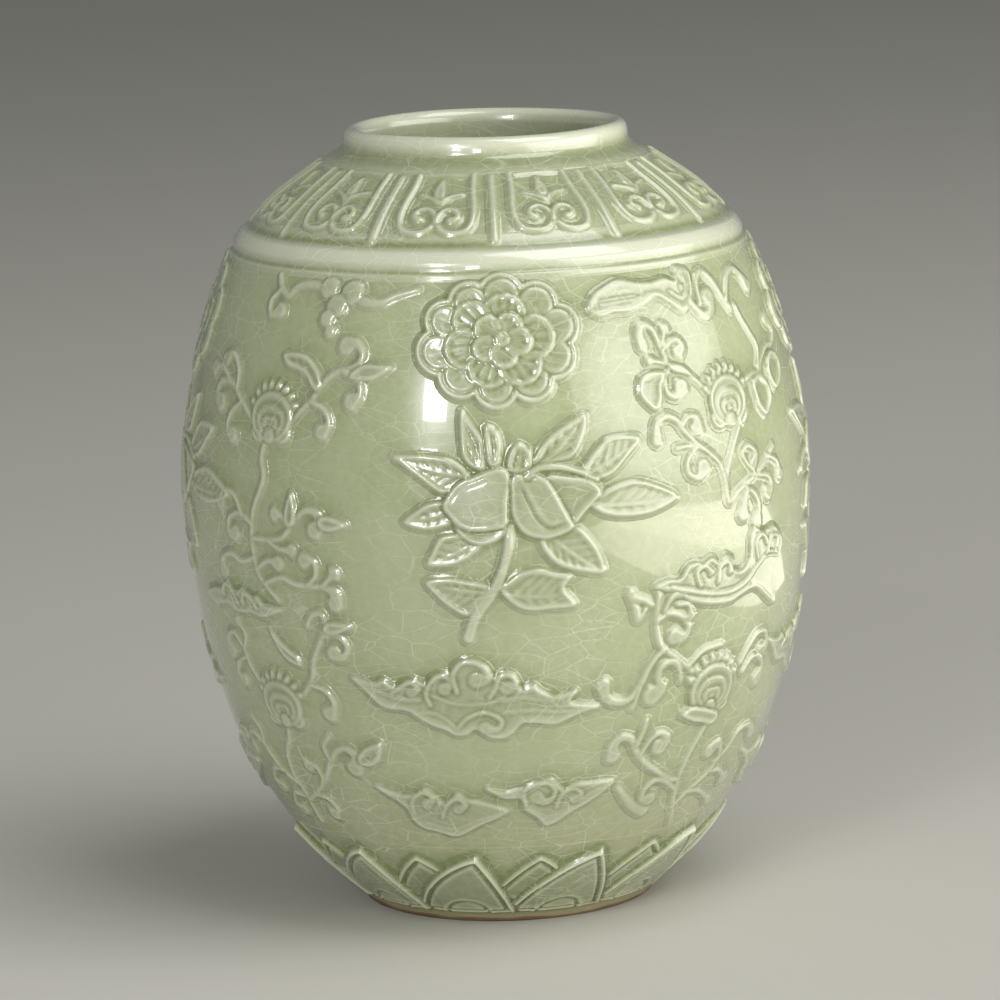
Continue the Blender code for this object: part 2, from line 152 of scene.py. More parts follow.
def settle(piece, nodes, material):
    """Puts a finished piece in the frame in place of its CAD nodes."""
    piece.data.materials.append(material)
    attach(piece, "root")
    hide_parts(*nodes)


def wire(tree, item, sockets):
    """Sets the sockets of a shader node to values, or links them to other nodes."""
    for name, value in sockets.items():
        if isinstance(value, bpy.types.NodeSocket):
            tree.links.new(value, item.inputs[name])
        else:
            item.inputs[name].default_value = value


def node(tree, kind, sockets=None, **settings):
    """A new shader node; its settings come first, as they can change its sockets."""
    item = tree.nodes.new(kind)
    for name, value in settings.items():
        setattr(item, name, value)
    wire(tree, item, sockets or {})
    return item


def new_effect(name, inputs, outputs):
    """An empty shader node group with named sockets."""
    tree = bpy.data.node_groups.new(name, "ShaderNodeTree")
    for label, kind, value in inputs:
        socket = tree.interface.new_socket(label, in_out="INPUT", socket_type=kind)
        socket.default_value = value
    for label, kind in outputs:
        tree.interface.new_socket(label, in_out="OUTPUT", socket_type=kind)
    return tree, tree.nodes.new("NodeGroupInput").outputs, tree.nodes.new("NodeGroupOutput")


def new_finish(name):
    """A new material, with its node tree and its shader."""
    material = bpy.data.materials.new(name)
    material.use_nodes = True
    return material, material.node_tree, material.node_tree.nodes["Principled BSDF"]


def mix_colours(tree, share, low, high):
    """The low colour where share is 0 and the high one where it is 1."""
    return node(tree, "ShaderNodeMix", {0: share, 6: low, 7: high}, data_type="RGBA").outputs[2]


def reckon(tree, operation, first, second):
    """A sum of two values or sockets, done in the material."""
    return node(tree, "ShaderNodeMath", {0: first, 1: second}, operation=operation).outputs[0]


def remap(tree, value, low, high, to_low=0.0, to_high=1.0):
    """Stretches the range from low to high over another one, and stops at its ends."""
    return node(tree, "ShaderNodeMapRange", {"Value": value, "From Min": low, "From Max": high,
                                             "To Min": to_low, "To Max": to_high}).outputs["Result"]


def mottle(tree, place, scale, detail, **sockets):
    """Soft random patches; a larger scale makes smaller patches."""
    return node(tree, "ShaderNodeTexNoise", {"Vector": place, "Scale": scale, "Detail": detail, **sockets})


def crack_net(tree, place, stretch, scale):
    """How far each place lies from the nearest crack of a random net of cells."""
    place = node(tree, "ShaderNodeVectorMath", {0: place, 1: stretch}, operation="MULTIPLY").outputs[0]
    cells = node(tree, "ShaderNodeTexVoronoi", {"Vector": place, "Scale": scale}, feature="DISTANCE_TO_EDGE")
    return cells.outputs["Distance"]


def craze_effect():
    """Fine cracks in the glaze: a coarse net of cracks and a closer net of hairlines."""
    tree, given, result = new_effect(
        "glaze crazing",
        [("Coarse cell", "NodeSocketFloat", 95.0), ("Fine cell", "NodeSocketFloat", 230.0)],
        [("Cracks", "NodeSocketFloat"), ("Hairlines", "NodeSocketFloat")])
    place = node(tree, "ShaderNodeTexCoord").outputs["Object"]
    drift = mottle(tree, place, 26.0, 3.0).outputs["Color"]
    bend = node(tree, "ShaderNodeVectorMath", {0: drift, 1: (0.5, 0.5, 0.5)}, operation="SUBTRACT").outputs[0]
    bend = node(tree, "ShaderNodeVectorMath", {0: bend, "Scale": 0.010}, operation="SCALE").outputs[0]
    bent = node(tree, "ShaderNodeVectorMath", {0: place, 1: bend}, operation="ADD").outputs[0]
    coarse = crack_net(tree, bent, (0.85, 0.85, 1.9), given["Coarse cell"])
    fine = crack_net(tree, bent, (1.0, 1.0, 1.45), given["Fine cell"])
    patchy = mottle(tree, place, 34.0, 2.0).outputs["Fac"]
    cracks = remap(tree, coarse, 0.008, 0.026, 1.0, 0.0)
    hair = remap(tree, fine, 0.012, 0.045, 1.0, 0.0)
    wire(tree, result, {
        "Cracks": reckon(tree, "MULTIPLY", cracks, remap(tree, patchy, 0.35, 0.60, 0.25, 1.0)),
        "Hairlines": reckon(tree, "MULTIPLY", hair, remap(tree, patchy, 0.42, 0.62, 0.0, 1.0))})
    return tree


# Painted reflection: the warm brown of a wooden floor, shown in the lower wall.
PAINTED_FLOOR_REFLECTION = (0.43, 0.33, 0.16, 1.0)
CRACK_PALE = (0.74, 0.76, 0.60, 1.0)


def glaze_effect():
    """Glaze colour: deep green where it pools, pale and greyer where it runs thin off an edge, with a painted
    warm floor reflection towards the foot.
    """
    tree, given, result = new_effect(
        "glaze depth",
        [("Pool", "NodeSocketFloat", 0.0), ("Thin", "NodeSocketFloat", 0.0),
         ("Cracks", "NodeSocketFloat", 0.0), ("Hairlines", "NodeSocketFloat", 0.0),
         ("Even colour", "NodeSocketColor", (0.40, 0.45, 0.26, 1.0)),
         ("Pooled colour", "NodeSocketColor", (0.20, 0.27, 0.09, 1.0)),
         ("Thin colour", "NodeSocketColor", (0.62, 0.66, 0.47, 1.0))],
        [("Colour", "NodeSocketColor"), ("Gloss", "NodeSocketFloat"), ("Surface", "NodeSocketFloat")])
    place = node(tree, "ShaderNodeTexCoord").outputs["Object"]
    cloudy = mottle(tree, place, 16.0, 4.0, Roughness=0.55).outputs["Fac"]
    grain = mottle(tree, place, 420.0, 3.0).outputs["Fac"]
    skin = mottle(tree, place, 95.0, 2.0).outputs["Fac"]
    pooled, thin = given["Pooled colour"], given["Thin colour"]
    tone = mix_colours(tree, remap(tree, cloudy, 0.30, 0.70, 0.0, 0.35), given["Even colour"], pooled)
    tone = mix_colours(tree, remap(tree, cloudy, 0.48, 0.72, 0.0, 0.22), tone, thin)
    height = node(tree, "ShaderNodeSeparateXYZ", {"Vector": place}).outputs["Z"]
    # Painted reflection: a warm brown tinge, stronger towards the foot and patchy, stands in for the floor
    # reflected in the lower wall.
    near_foot = remap(tree, height, 0.055, 0.0, 0.0, 0.34)
    floor_reflection_share = reckon(tree, "MULTIPLY", near_foot, remap(tree, cloudy, 0.30, 0.62, 0.55, 1.0))
    tone = mix_colours(tree, floor_reflection_share, tone, PAINTED_FLOOR_REFLECTION)
    tone = mix_colours(tree, given["Pool"], tone, pooled)
    tone = mix_colours(tree, given["Thin"], tone, thin)
    tone = mix_colours(tree, remap(tree, grain, 0.35, 0.75, 0.0, 0.16), tone, thin)
    lines = reckon(tree, "ADD", reckon(tree, "MULTIPLY", given["Cracks"], 0.25),
                   reckon(tree, "MULTIPLY", given["Hairlines"], 0.20))
    dulled = reckon(tree, "MULTIPLY", given["Cracks"], 0.12)
    sunk = reckon(tree, "MULTIPLY", given["Cracks"], 0.20)
    wire(tree, result, {
        "Colour": mix_colours(tree, lines, tone, CRACK_PALE),
        "Gloss": reckon(tree, "ADD", remap(tree, cloudy, 0.3, 0.7, 0.16, 0.26), dulled),
        "Surface": reckon(tree, "SUBTRACT", reckon(tree, "MULTIPLY", skin, 0.55), sunk)})
    return tree


crazing = craze_effect()
glaze_depth = glaze_effect()


def glaze(name, even, pooled, thin):
    """A glazed finish: crazed, pooled and thinned glaze under a glassy coat."""
    material, tree, shader = new_finish(name)
    craze = node(tree, "ShaderNodeGroup", {"Coarse cell": 112.0, "Fine cell": 230.0}, node_tree=crazing)
    pool_layer = node(tree, "ShaderNodeAttribute", attribute_name="pool").outputs["Fac"]
    thin_layer = node(tree, "ShaderNodeAttribute", attribute_name="thin").outputs["Fac"]
    depth = node(tree, "ShaderNodeGroup", {
        "Even colour": (*even, 1.0), "Pooled colour": (*pooled, 1.0), "Thin colour": (*thin, 1.0),
        "Pool": pool_layer, "Thin": thin_layer,
        "Cracks": craze.outputs["Cracks"], "Hairlines": craze.outputs["Hairlines"]}, node_tree=glaze_depth)
    bump = node(tree, "ShaderNodeBump", {"Strength": 0.35, "Distance": 0.00012,
                                         "Height": depth.outputs["Surface"]})
    wire(tree, shader, {
        "Base Color": depth.outputs["Colour"], "Roughness": depth.outputs["Gloss"],
        "Normal": bump.outputs["Normal"], "IOR": 1.5,
        "Coat Weight": 1.0, "Coat Roughness": 0.035, "Coat IOR": 1.52})
    return material


wall_glaze = glaze("green_glaze_wall", even=(0.41, 0.452, 0.268), pooled=(0.170, 0.212, 0.066),
                   thin=(0.655, 0.675, 0.50))

wall_turns = full_circle(WALL_COLUMNS)
outer_levels = np.interp(np.linspace(along_wall[0], along_wall[-1], OUTER_ROWS), along_wall, levels)
inner_levels = np.linspace(WALL_HIGH - 3.5, FLOOR_TOP + 6.0, INNER_ROWS)
wall_rows = [round_row(wall_turns, radius, WALL_LOW) for radius in SEAT_RADII]
wall_rows += [on_wall(wall_turns, level, 0.0) for level in outer_levels]
wall_rows += [round_row(wall_turns, radius, level) for radius, level in MOUTH_CURVE]
wall_rows += [on_wall(wall_turns, level, -WALL_THICKNESS) for level in inner_levels]
wall_rows += [round_row(wall_turns, radius, level) for radius, level in FLOOR_CURVE]
wall_points = np.stack(wall_rows, 1)
row_count = len(wall_rows)
ends = np.array([[0.0, 0.0, WALL_LOW], [0.0, 0.0, FLOOR_TOP]]) * MM
low_end = WALL_COLUMNS * row_count
first = np.arange(WALL_COLUMNS) * row_count
after = np.roll(first, -1)
low_fan = np.stack([np.full_like(first, low_end), after, first], 1)
high_fan = np.stack([np.full_like(first, low_end + 1), first + row_count - 1, after + row_count - 1], 1)
body_wall = make_mesh("body_wall_glazed", np.concatenate([wall_points.reshape(-1, 3), ends]),
                      [grid_faces(WALL_COLUMNS, row_count, closed=False), low_fan, high_fan])
settle(body_wall, ["body_wall"], wall_glaze)
glazed = [body_wall]


# ---- foot ring ----
# The foot is a low ring turned at the base of the wall. Its edge is wiped free of glaze
# before firing, so a thin brown line of bare clay shows where the vase stands.

FOOT_COLUMNS = 288
BARE_EDGE = 0.0011
CLAY_DARK, CLAY_PALE, CLAY_SPECK = (0.12, 0.075, 0.038, 1.0), (0.20, 0.14, 0.075, 1.0), (0.10, 0.06, 0.03, 1.0)
BROWNED_GLAZE = (0.24, 0.22, 0.11, 1.0)
FOOT_SECTION = [
    (37.5, 3.9), (37.4, 2.4), (37.5, 0.9), (37.9, 0.25), (38.6, 0.0), (41.0, 0.0), (43.4, 0.0), (44.5, 0.05),
    (45.1, 0.35), (45.4, 0.9), (45.45, 1.6), (45.4, 2.4), (45.5, 3.2), (45.7, 4.0), (46.4, 4.6), (45.0, 5.4),
    (41.0, 5.0)]


def make_ring(name, rows, flip=False):
    """A closed ring from rows of points that run round the axis."""
    points = np.stack(rows, 1)
    faces = grid_faces(points.shape[0], points.shape[1], closed=True)
    return make_mesh(name, points, [faces[:, ::-1] if flip else faces])


foot_turns = full_circle(FOOT_COLUMNS)
foot_rows = []
for index, (radius, level) in enumerate(FOOT_SECTION):
    chatter = 0.05 * np.sin(23 * foot_turns + index) + 0.04 * np.sin(41 * foot_turns + 2.1 * index)
    chatter = chatter * (0.0 if level < 0.2 else 1.0)
    foot_rows.append(round_row(foot_turns, radius + chatter, level))
foot_ring = make_ring("foot_ring_bare", foot_rows)

bare_foot, tree, shader = new_finish("bare_foot_clay")
place = node(tree, "ShaderNodeTexCoord").outputs["Object"]
speckle = mottle(tree, place, 900.0, 4.0).outputs["Fac"]
toast = mottle(tree, place, 60.0, 3.0).outputs["Fac"]
clay = mix_colours(tree, remap(tree, toast, 0.3, 0.7), CLAY_DARK, CLAY_PALE)
clay = mix_colours(tree, remap(tree, speckle, 0.55, 0.75, 0.0, 0.5), clay, CLAY_SPECK)
level = node(tree, "ShaderNodeSeparateXYZ", {"Vector": place}).outputs["Z"]
glaze_line = reckon(tree, "ADD", level, remap(tree, toast, 0.3, 0.7, -0.0005, 0.0005))
covered = remap(tree, glaze_line, BARE_EDGE, BARE_EDGE + 0.0003)
rough_skin = node(tree, "ShaderNodeBump", {"Strength": 0.6, "Distance": 0.00015, "Height": speckle})
wire(tree, shader, {
    "Base Color": mix_colours(tree, covered, clay, BROWNED_GLAZE),
    "Roughness": remap(tree, covered, 0.0, 1.0, 0.85, 0.2),
    "Coat Weight": covered, "Normal": rough_skin.outputs["Normal"]})
settle(foot_ring, ["foot_ring"], bare_foot)


# ---- neck ring and rolled lip ----
# The short neck is a coil luted over the mouth and rolled outwards into a rounded lip.
# Glaze runs thin and pale over the lip and pools green in the cove below it.

# Radius and height up the inside, over the lip and down the outside, each with how deep the
# glaze pools there and how thin it runs.
NECK_CURVE = np.array([
    (38.4, 229.2, 0.20, 0.00), (38.2, 232.0, 0.10, 0.00), (38.0, 234.6, 0.10, 0.10),
    (38.0, 236.8, 0.10, 0.30), (38.5, 238.5, 0.00, 0.60), (39.6, 239.6, 0.00, 0.75),
    (40.9, 240.0, 0.00, 0.75), (42.1, 239.6, 0.00, 0.75), (43.1, 238.6, 0.00, 0.75),
    (43.6, 237.2, 0.00, 0.70), (43.7, 235.9, 0.10, 0.40), (43.8, 234.8, 0.35, 0.10),
    (44.4, 233.8, 0.60, 0.00), (45.6, 232.8, 0.60, 0.00), (47.2, 231.9, 0.50, 0.00),
    (48.9, 230.95, 0.35, 0.10), (50.3, 229.95, 0.30, 0.10)])
NECK_UNDERSIDE = np.array([(50.0, 229.0), (45.0, 228.7), (39.4, 228.8)])
NECK_COLUMNS, NECK_ROWS = 432, 74


def paint(piece, name, values):
    """Stores one number for each corner of the mesh, for its material to read."""
    layer = piece.data.attributes.get(name) or piece.data.attributes.new(name, "FLOAT", "POINT")
    layer.data.foreach_set("value", np.clip(values, 0.0, 1.0).ravel().astype(np.float32))


def paint_ring(piece, columns, hidden_rows, **layers):
    """Paints a ring from one number for each of its rows; the hidden rows get none."""
    for name, values in layers.items():
        paint(piece, name, np.tile(np.concatenate([values, np.zeros(hidden_rows)]), columns))


neck_turns = full_circle(NECK_COLUMNS)
guide_run = np.concatenate([[0.0], np.cumsum(np.hypot(*np.diff(NECK_CURVE[:, :2], axis=0).T))])
neck_run = np.linspace(0.0, guide_run[-1], NECK_ROWS)
neck_radii, neck_levels = [flowing_line(guide_run, NECK_CURVE[:, side], neck_run) for side in (0, 1)]
neck_pool, neck_thin = [np.interp(neck_run, guide_run, NECK_CURVE[:, side]) for side in (2, 3)]
neck_rows = []
for index, (radius, height) in enumerate(zip(np.append(neck_radii, NECK_UNDERSIDE[:, 0]),
                                             np.append(neck_levels, NECK_UNDERSIDE[:, 1]))):
    sway = 0.10 * np.sin(2 * neck_turns + 0.7) + 0.07 * np.sin(5 * neck_turns + 0.03 * index)
    sway = sway * (1.0 if 40 > index > 8 else 0.4)
    dip = -0.16 * (1.0 + np.sin(3 * neck_turns + 0.5)) * max(0.0, (height - 234.0) / 6.0)
    neck_rows.append(round_row(neck_turns, radius + sway, height + dip))
neck_ring = make_ring("neck_ring_glazed", neck_rows, flip=True)
relief_glaze = glaze("green_glaze_relief", even=(0.455, 0.486, 0.318), pooled=(0.165, 0.206, 0.062),
                     thin=(0.68, 0.695, 0.55))
settle(neck_ring, ["neck_ring"], relief_glaze)
paint_ring(neck_ring, NECK_COLUMNS, len(NECK_UNDERSIDE), pool=neck_pool, thin=neck_thin)


# ---- shoulder cordon ----
# A flat-backed coil runs round the shoulder and closes the relief field at the top.
# It is smoothed with a wet finger, and a scored line runs just below it.

CORDON_COLUMNS, CORDON_ROWS = 540, 62
CORDON_LOW, CORDON_HIGH = 201.6, 214.6
CORDON_RISE = 1.25
SKIN = 0.05


def soft_step(value, low, high):
    """Goes smoothly from 0 at low to 1 at high."""
    part = np.clip((value - low) / (high - low), 0.0, 1.0)
    return part * part * (3.0 - 2.0 * part)


def ridge(value, width):
    """1 at nought, falling away smoothly on both sides."""
    return np.exp(-(value / width) ** 2)


cordon_turns = full_circle(CORDON_COLUMNS)
cordon_levels = np.linspace(CORDON_LOW, CORDON_HIGH, CORDON_ROWS)
cordon_lift = CORDON_RISE * soft_step(cordon_levels, 204.2, 206.4)
cordon_lift *= 1.0 - soft_step(cordon_levels, 208.9, 211.3)
cordon_lift *= 0.80 + 0.20 * ridge(cordon_levels - 207.8, 1.9)
cordon_lift += 0.36 * ridge(cordon_levels - 203.2, 0.6)
cordon_lift[[0, -1]] = -SKIN - 0.02
cordon_rows = [on_wall(cordon_turns, level, SKIN + lift) for level, lift in zip(cordon_levels, cordon_lift)]
cordon_rows += [on_wall(cordon_turns, level, -0.5) for level in cordon_levels[::-6]]
cordon = make_ring("shoulder_cordon_glazed", cordon_rows)
settle(cordon, ["shoulder_cordon"], relief_glaze)
cordon_pool = 0.8 * ridge(cordon_levels - 211.6, 1.0) + 0.55 * ridge(cordon_levels - 204.2, 0.6)
cordon_thin = np.clip(cordon_lift / CORDON_RISE, 0.0, 1.0) * 0.75
paint_ring(cordon, CORDON_COLUMNS, len(cordon_rows) - CORDON_ROWS, pool=cordon_pool, thin=cordon_thin)


# ---- shoulder bars and lappets ----
# Twelve hanging ruyi lappets stand between upright bars on the shoulder. Each is a sprig:
# clay pressed in a mould, luted on with slip while damp and softened by the glaze over it.

# The relief is worked as heights on a grid, then pressed a little flatter. Each sprig has a
# skirt of slip round it and a back that is bedded in the wall.
GRID = 0.35
RELIEF_SHARE = 0.74
SKIRT = 1.5
BED = 0.5
ROUNDED_EDGE = (-0.35, 0.55)
GROOVE_WIDTH = 0.55
GLAZE_SOFTENING = 0.36
POOL_REACH = 0.9

TURN_CELLS, LEVEL_CELLS, CELL_HEIGHT = 720, 480, 0.5
relief_map = np.zeros((TURN_CELLS, LEVEL_CELLS))


def climb(points):
    """(across, height) points as (across, distance up the wall), in mm."""
    points = np.array(points, float)
    points[:, 1] = np.interp(points[:, 1], levels, along_wall)
    return points


def clay_line(points, step=0.8, closed=False):
    """Closely spaced points along a smooth line through the given ones."""
    points = np.array(points, float)
    count = len(points)
    line = []
    for index in range(count if closed else count - 1):
        picks = [index - 1, index, index + 1, index + 2]
        picks = [pick % count if closed else min(max(pick, 0), count - 1) for pick in picks]
        before, start, end, following = points[picks]
        parts = max(1, int(round(np.hypot(*(end - start)) / step)))
        for part in np.arange(parts) / parts:
            pull = (end - before) * part + (2 * before - 5 * start + 4 * end - following) * part ** 2
            line.append(start + 0.5 * (pull + (3 * start - before - 3 * end + following) * part ** 3))
    if not closed:
        line.append(points[-1])
    return np.array(line)


def outline_depth(across, rise, line):
    """How deep each place lies inside a closed outline; negative outside it."""
    nearest = np.full(across.shape, 1e9)
    inside = np.zeros(across.shape, bool)
    for start, end in zip(line, np.roll(line, -1, axis=0)):
        span = end - start
        part = ((across - start[0]) * span[0] + (rise - start[1]) * span[1]) / max(span @ span, 1e-9)
        part = np.clip(part, 0.0, 1.0)
        gap = (across - start[0] - span[0] * part) ** 2 + (rise - start[1] - span[1] * part) ** 2
        nearest = np.minimum(nearest, gap)
        if start[1] != end[1]:
            crosses = (start[1] > rise) != (end[1] > rise)
            inside ^= crosses & (across < span[0] * (rise - start[1]) / span[1] + start[0])
    nearest = np.sqrt(nearest)
    return np.where(inside, nearest, -nearest)


def run_depth(across, rise, line, halves):
    """Depth inside a tapering run of clay, the share of its half width, and how far along it."""
    depth = np.full(across.shape, -1e9)
    share, along = np.ones(across.shape), np.zeros(across.shape)
    count = len(line) - 1
    for index in range(count):
        start, span = line[index], line[index + 1] - line[index]
        part = ((across - start[0]) * span[0] + (rise - start[1]) * span[1]) / max(span @ span, 1e-9)
        part = np.clip(part, 0.0, 1.0)
        gap = np.hypot(across - start[0] - span[0] * part, rise - start[1] - span[1] * part)
        half = halves[index] + (halves[index + 1] - halves[index]) * part
        here = half - gap > depth
        depth = np.where(here, half - gap, depth)
        share = np.where(here, gap / half, share)
        along = np.where(here, (index + part) / count, along)
    return depth, share, along


def softened(field, spread, pitch=GRID, wrap=False):
    """The field blurred both ways by a rounded spread in mm."""
    reach = max(1, int(round(3.0 * spread / pitch)))
    weights = np.exp(-0.5 * (np.arange(-reach, reach + 1) * pitch / spread) ** 2)
    weights /= weights.sum()
    for axis in (0, 1):
        padded = np.pad(field, [(reach, reach) if axis == k else (0, 0) for k in (0, 1)],
                        mode="wrap" if wrap and axis == 0 else "edge")
        total = np.zeros_like(field)
        for index, weight in enumerate(weights):
            total += weight * np.take(padded, range(index, index + field.shape[axis]), axis)
        field = total
    return field


def add_to_relief_map(turn, level, clay):
    """Notes the raised clay for the dip of glaze, which gathers round it."""
    column = np.floor((turn / (2.0 * math.pi) % 1.0) * TURN_CELLS).astype(int) % TURN_CELLS
    row = np.clip((level / CELL_HEIGHT).astype(int), 0, LEVEL_CELLS - 1)
    np.maximum.at(relief_map, (column, row), clay)


class Sprig:
    """Clay modelled in relief on a patch of wall: mm across, and mm up along the wall."""

    def __init__(self, left, right, low, high, skin=0.05):
        low, high = climb([(0.0, low), (0.0, high)])[:, 1]
        across = np.arange(left, right + GRID, GRID)
        rise = np.arange(low, high + GRID, GRID)
        self.across, self.rise = np.meshgrid(across, rise, indexing="ij")
        self.height = np.zeros(self.across.shape)
        self.depth = np.full(self.across.shape, -9.0)
        self.skin = skin

    def around(self, points, reach=4.0):
        """The part of the grid that lies round the points."""
        low, high = points.min(0) - reach, points.max(0) + reach
        first = [self.across[0, 0], self.rise[0, 0]]
        cut = []
        for axis in (0, 1):
            start = max(int((low[axis] - first[axis]) / GRID), 0)
            cut.append(slice(start, max(int((high[axis] - first[axis]) / GRID) + 1, start + 1)))
        return tuple(cut)

    def lay(self, cut, depth, height, groove=0.5):
        """Lays a shape over what is there, with a groove pressed round it."""
        bed = self.height[cut] * (1.0 - groove * ridge(np.maximum(-depth, 0.0), GROOVE_WIDTH))
        share = soft_step(depth, *ROUNDED_EDGE)
        self.height[cut] = bed + (height - bed) * share
        self.depth[cut] = np.maximum(self.depth[cut], depth)

    def stem(self, points, start, end, rise=1.2, head=0.0, groove=0.4):
        """A rounded run of clay, tapering, with a rolled head if it has one."""
        line = clay_line(climb(points))
        halves = 0.5 * np.linspace(start, end, len(line))
        if head:
            tail = np.clip(np.linspace(-3.0, 1.0, len(line)), 0.0, 1.0) ** 1.5
            halves = halves + tail * (0.5 * head - 0.5 * end)
        cut = self.around(line)
        depth, share, _ = run_depth(self.across[cut], self.rise[cut], line, halves)
        round_top = np.sqrt(np.clip(1.0 - share ** 2, 0.0, 1.0))
        height = rise * (0.70 + 0.30 * round_top)
        if head:
            gap = np.hypot(self.across[cut] - line[-1][0], self.rise[cut] - line[-1][1])
            height = height * (1.0 - 0.14 * ridge(gap, 0.24 * head))
        self.lay(cut, depth, height, groove)

    def bead(self, centre, radius, rise, groove=0.5):
        """A round pellet of clay."""
        centre = climb([centre])[0]
        cut = self.around(np.array([centre]), radius + 4.0)
        gap = np.hypot(self.across[cut] - centre[0], self.rise[cut] - centre[1])
        round_top = np.sqrt(np.clip(1.0 - (gap / radius) ** 2, 0, 1))
        self.lay(cut, radius - gap, rise * (0.7 + 0.3 * round_top), groove)

    def leaf(self, outline, base, tip, veins):
        """A flat leaf with a raised edge, a midrib and slanting veins, dished between them."""
        line = clay_line(climb(outline), closed=True)
        cut = self.around(line)
        x, v = self.across[cut], self.rise[cut]
        depth = outline_depth(x, v, line)
        base, tip = climb([base, tip])
        length = np.hypot(*(tip - base))
        way = (tip - base) / length
        along = ((x - base[0]) * way[0] + (v - base[1]) * way[1]) / length
        off = (x - base[0]) * -way[1] + (v - base[1]) * way[0]
        off = off + 0.8 * np.sin(np.pi * np.clip(along, 0, 1)) * np.sign(way[0] + 0.01)
        height = 1.05 + 0.42 * ridge(depth - 0.7, 0.5) - 0.35 * soft_step(depth, 0.9, 2.4)
        fade = np.clip((1.05 - along) / 0.5, 0.0, 1.0)
        height = height + 0.40 * ridge(off, 0.42) * fade
        vein = np.cos(2.0 * np.pi * (veins * along - 0.32 * np.abs(off)))
        height = height + 0.13 * vein * soft_step(depth, 1.0, 1.9) * soft_step(np.abs(off), 0.4, 0.9)
        self.lay(cut, depth, height, groove=0.6)

    def petal(self, outline, rise, rim, dish):
        """A fleshy petal or pad with a raised rim and a dished middle."""
        line = clay_line(climb(outline), closed=True)
        cut = self.around(line)
        depth = outline_depth(self.across[cut], self.rise[cut], line)
        height = rise + rim * ridge(depth - 0.75, 0.5) - dish * soft_step(depth, 1.0, 3.4)
        self.lay(cut, depth, height, groove=0.6)

    def carve(self, points, width, depth):
        """A line pressed into the clay, or raised from it where depth is negative."""
        line = clay_line(climb(points))
        cut = self.around(line)
        inside, _, along = run_depth(self.across[cut], self.rise[cut], line, np.full(len(line), 0.01))
        fade = np.clip(np.minimum(along, 1.0 - along) * 6.0, 0.25, 1.0)
        self.height[cut] -= depth * ridge(inside, width) * fade * soft_step(self.depth[cut], 0.0, 0.5)

    def set_up(self):
        """Works out the sheet's corners and faces, once for every copy."""
        clay = softened(self.height, GLAZE_SOFTENING) * RELIEF_SHARE
        clay = np.maximum(clay, 0.0) + 0.10 * ridge(self.depth + 0.2, 0.9)
        share = soft_step(self.depth, -SKIRT, -SKIRT + 0.9)
        clay *= share
        broad = softened(clay, POOL_REACH)
        pool = 1.15 * np.clip(broad - clay, 0.0, 1.0)
        thin = np.clip(0.26 * clay + 0.95 * (clay - broad), 0.0, 1.0)
        # Cells that meet only at a corner are dropped, as the sheet has to close round its edge.
        kept = self.depth > -SKIRT
        cells = kept[:-1, :-1] & kept[1:, :-1] & kept[1:, 1:] & kept[:-1, 1:]
        for _ in range(6):
            one, two = cells[:-1, :-1] & cells[1:, 1:], cells[1:, :-1] & cells[:-1, 1:]
            pinch = (one & ~cells[1:, :-1] & ~cells[:-1, 1:]) | (two & ~cells[:-1, :-1] & ~cells[1:, 1:])
            if not pinch.any():
                break
            for corner in (np.s_[:-1, :-1], np.s_[:-1, 1:], np.s_[1:, :-1], np.s_[1:, 1:]):
                cells[corner] &= ~pinch
        padded = np.pad(cells, 1)
        used = padded[:-1, :-1] | padded[1:, :-1] | padded[1:, 1:] | padded[:-1, 1:]
        full = padded[:-1, :-1] & padded[1:, :-1] & padded[1:, 1:] & padded[:-1, 1:]
        # The outermost corners slide on to the true edge of the skirt.
        rim = used & ~full
        slope_x, slope_v = np.gradient(self.depth, GRID)
        steep = np.maximum(slope_x ** 2 + slope_v ** 2, 0.3)
        step = np.clip((-SKIRT - self.depth) / steep, -0.6 * GRID, 0.6 * GRID)
        x = self.across + np.where(rim, step * slope_x, 0.0)
        v = self.rise + np.where(rim, step * slope_v, 0.0)
        number = np.full(used.shape, -1)
        number[used] = np.arange(used.sum())
        self.count = int(used.sum())
        self.place_x, self.place_v = x[used], v[used]
        self.lift = (self.skin * share ** 2 - 0.012 + clay)[used]
        self.pool, self.thin = pool[used], thin[used]
        i, j = np.nonzero(cells)
        top = np.stack([number[i, j], number[i + 1, j], number[i + 1, j + 1], number[i, j + 1]], 1)
        sides = []
        for step_i, step_j, first, second in ((0, -1, (0, 0), (1, 0)), (1, 0, (1, 0), (1, 1)),
                                              (0, 1, (1, 1), (0, 1)), (-1, 0, (0, 1), (0, 0))):
            open_side = ~padded[i + 1 + step_i, j + 1 + step_j]
            a = number[i[open_side] + first[0], j[open_side] + first[1]]
            b = number[i[open_side] + second[0], j[open_side] + second[1]]
            sides.append(np.stack([b, a, a + self.count, b + self.count], 1))
        self.faces = [top, top[:, ::-1] + self.count, np.concatenate(sides)]
        self.top_count = len(top)
        self.clay = clay

    def press_on(self, name, node_name, centre):
        """One copy of the sprig, pressed on the wall with its middle line at the given turn."""
        height = np.interp(self.place_v, along_wall, levels)
        turn = centre + self.place_x / np.interp(height, levels, radii)
        face, back = on_wall(turn, height, self.lift), on_wall(turn, height, np.full_like(turn, -BED))
        piece = make_mesh(name, np.concatenate([face, back]), self.faces, flat_from=self.top_count)
        settle(piece, [node_name], relief_glaze)
        glazed.append(piece)
        paint(piece, "pool", np.concatenate([self.pool, np.zeros(self.count)]))
        paint(piece, "thin", np.concatenate([self.thin, np.zeros(self.count)]))
        level = np.interp(self.rise, along_wall, levels)
        add_to_relief_map(centre + self.across / np.interp(level, levels, radii), level, self.clay)


bar = Sprig(-4.5, 4.5, 209.0, 231.0, skin=0.075)
bar.stem([(0.0, 228.6), (0.0, 224.0), (0.0, 218.0), (0.0, 212.6)], 1.9, 2.4, rise=1.0)
bar.set_up()

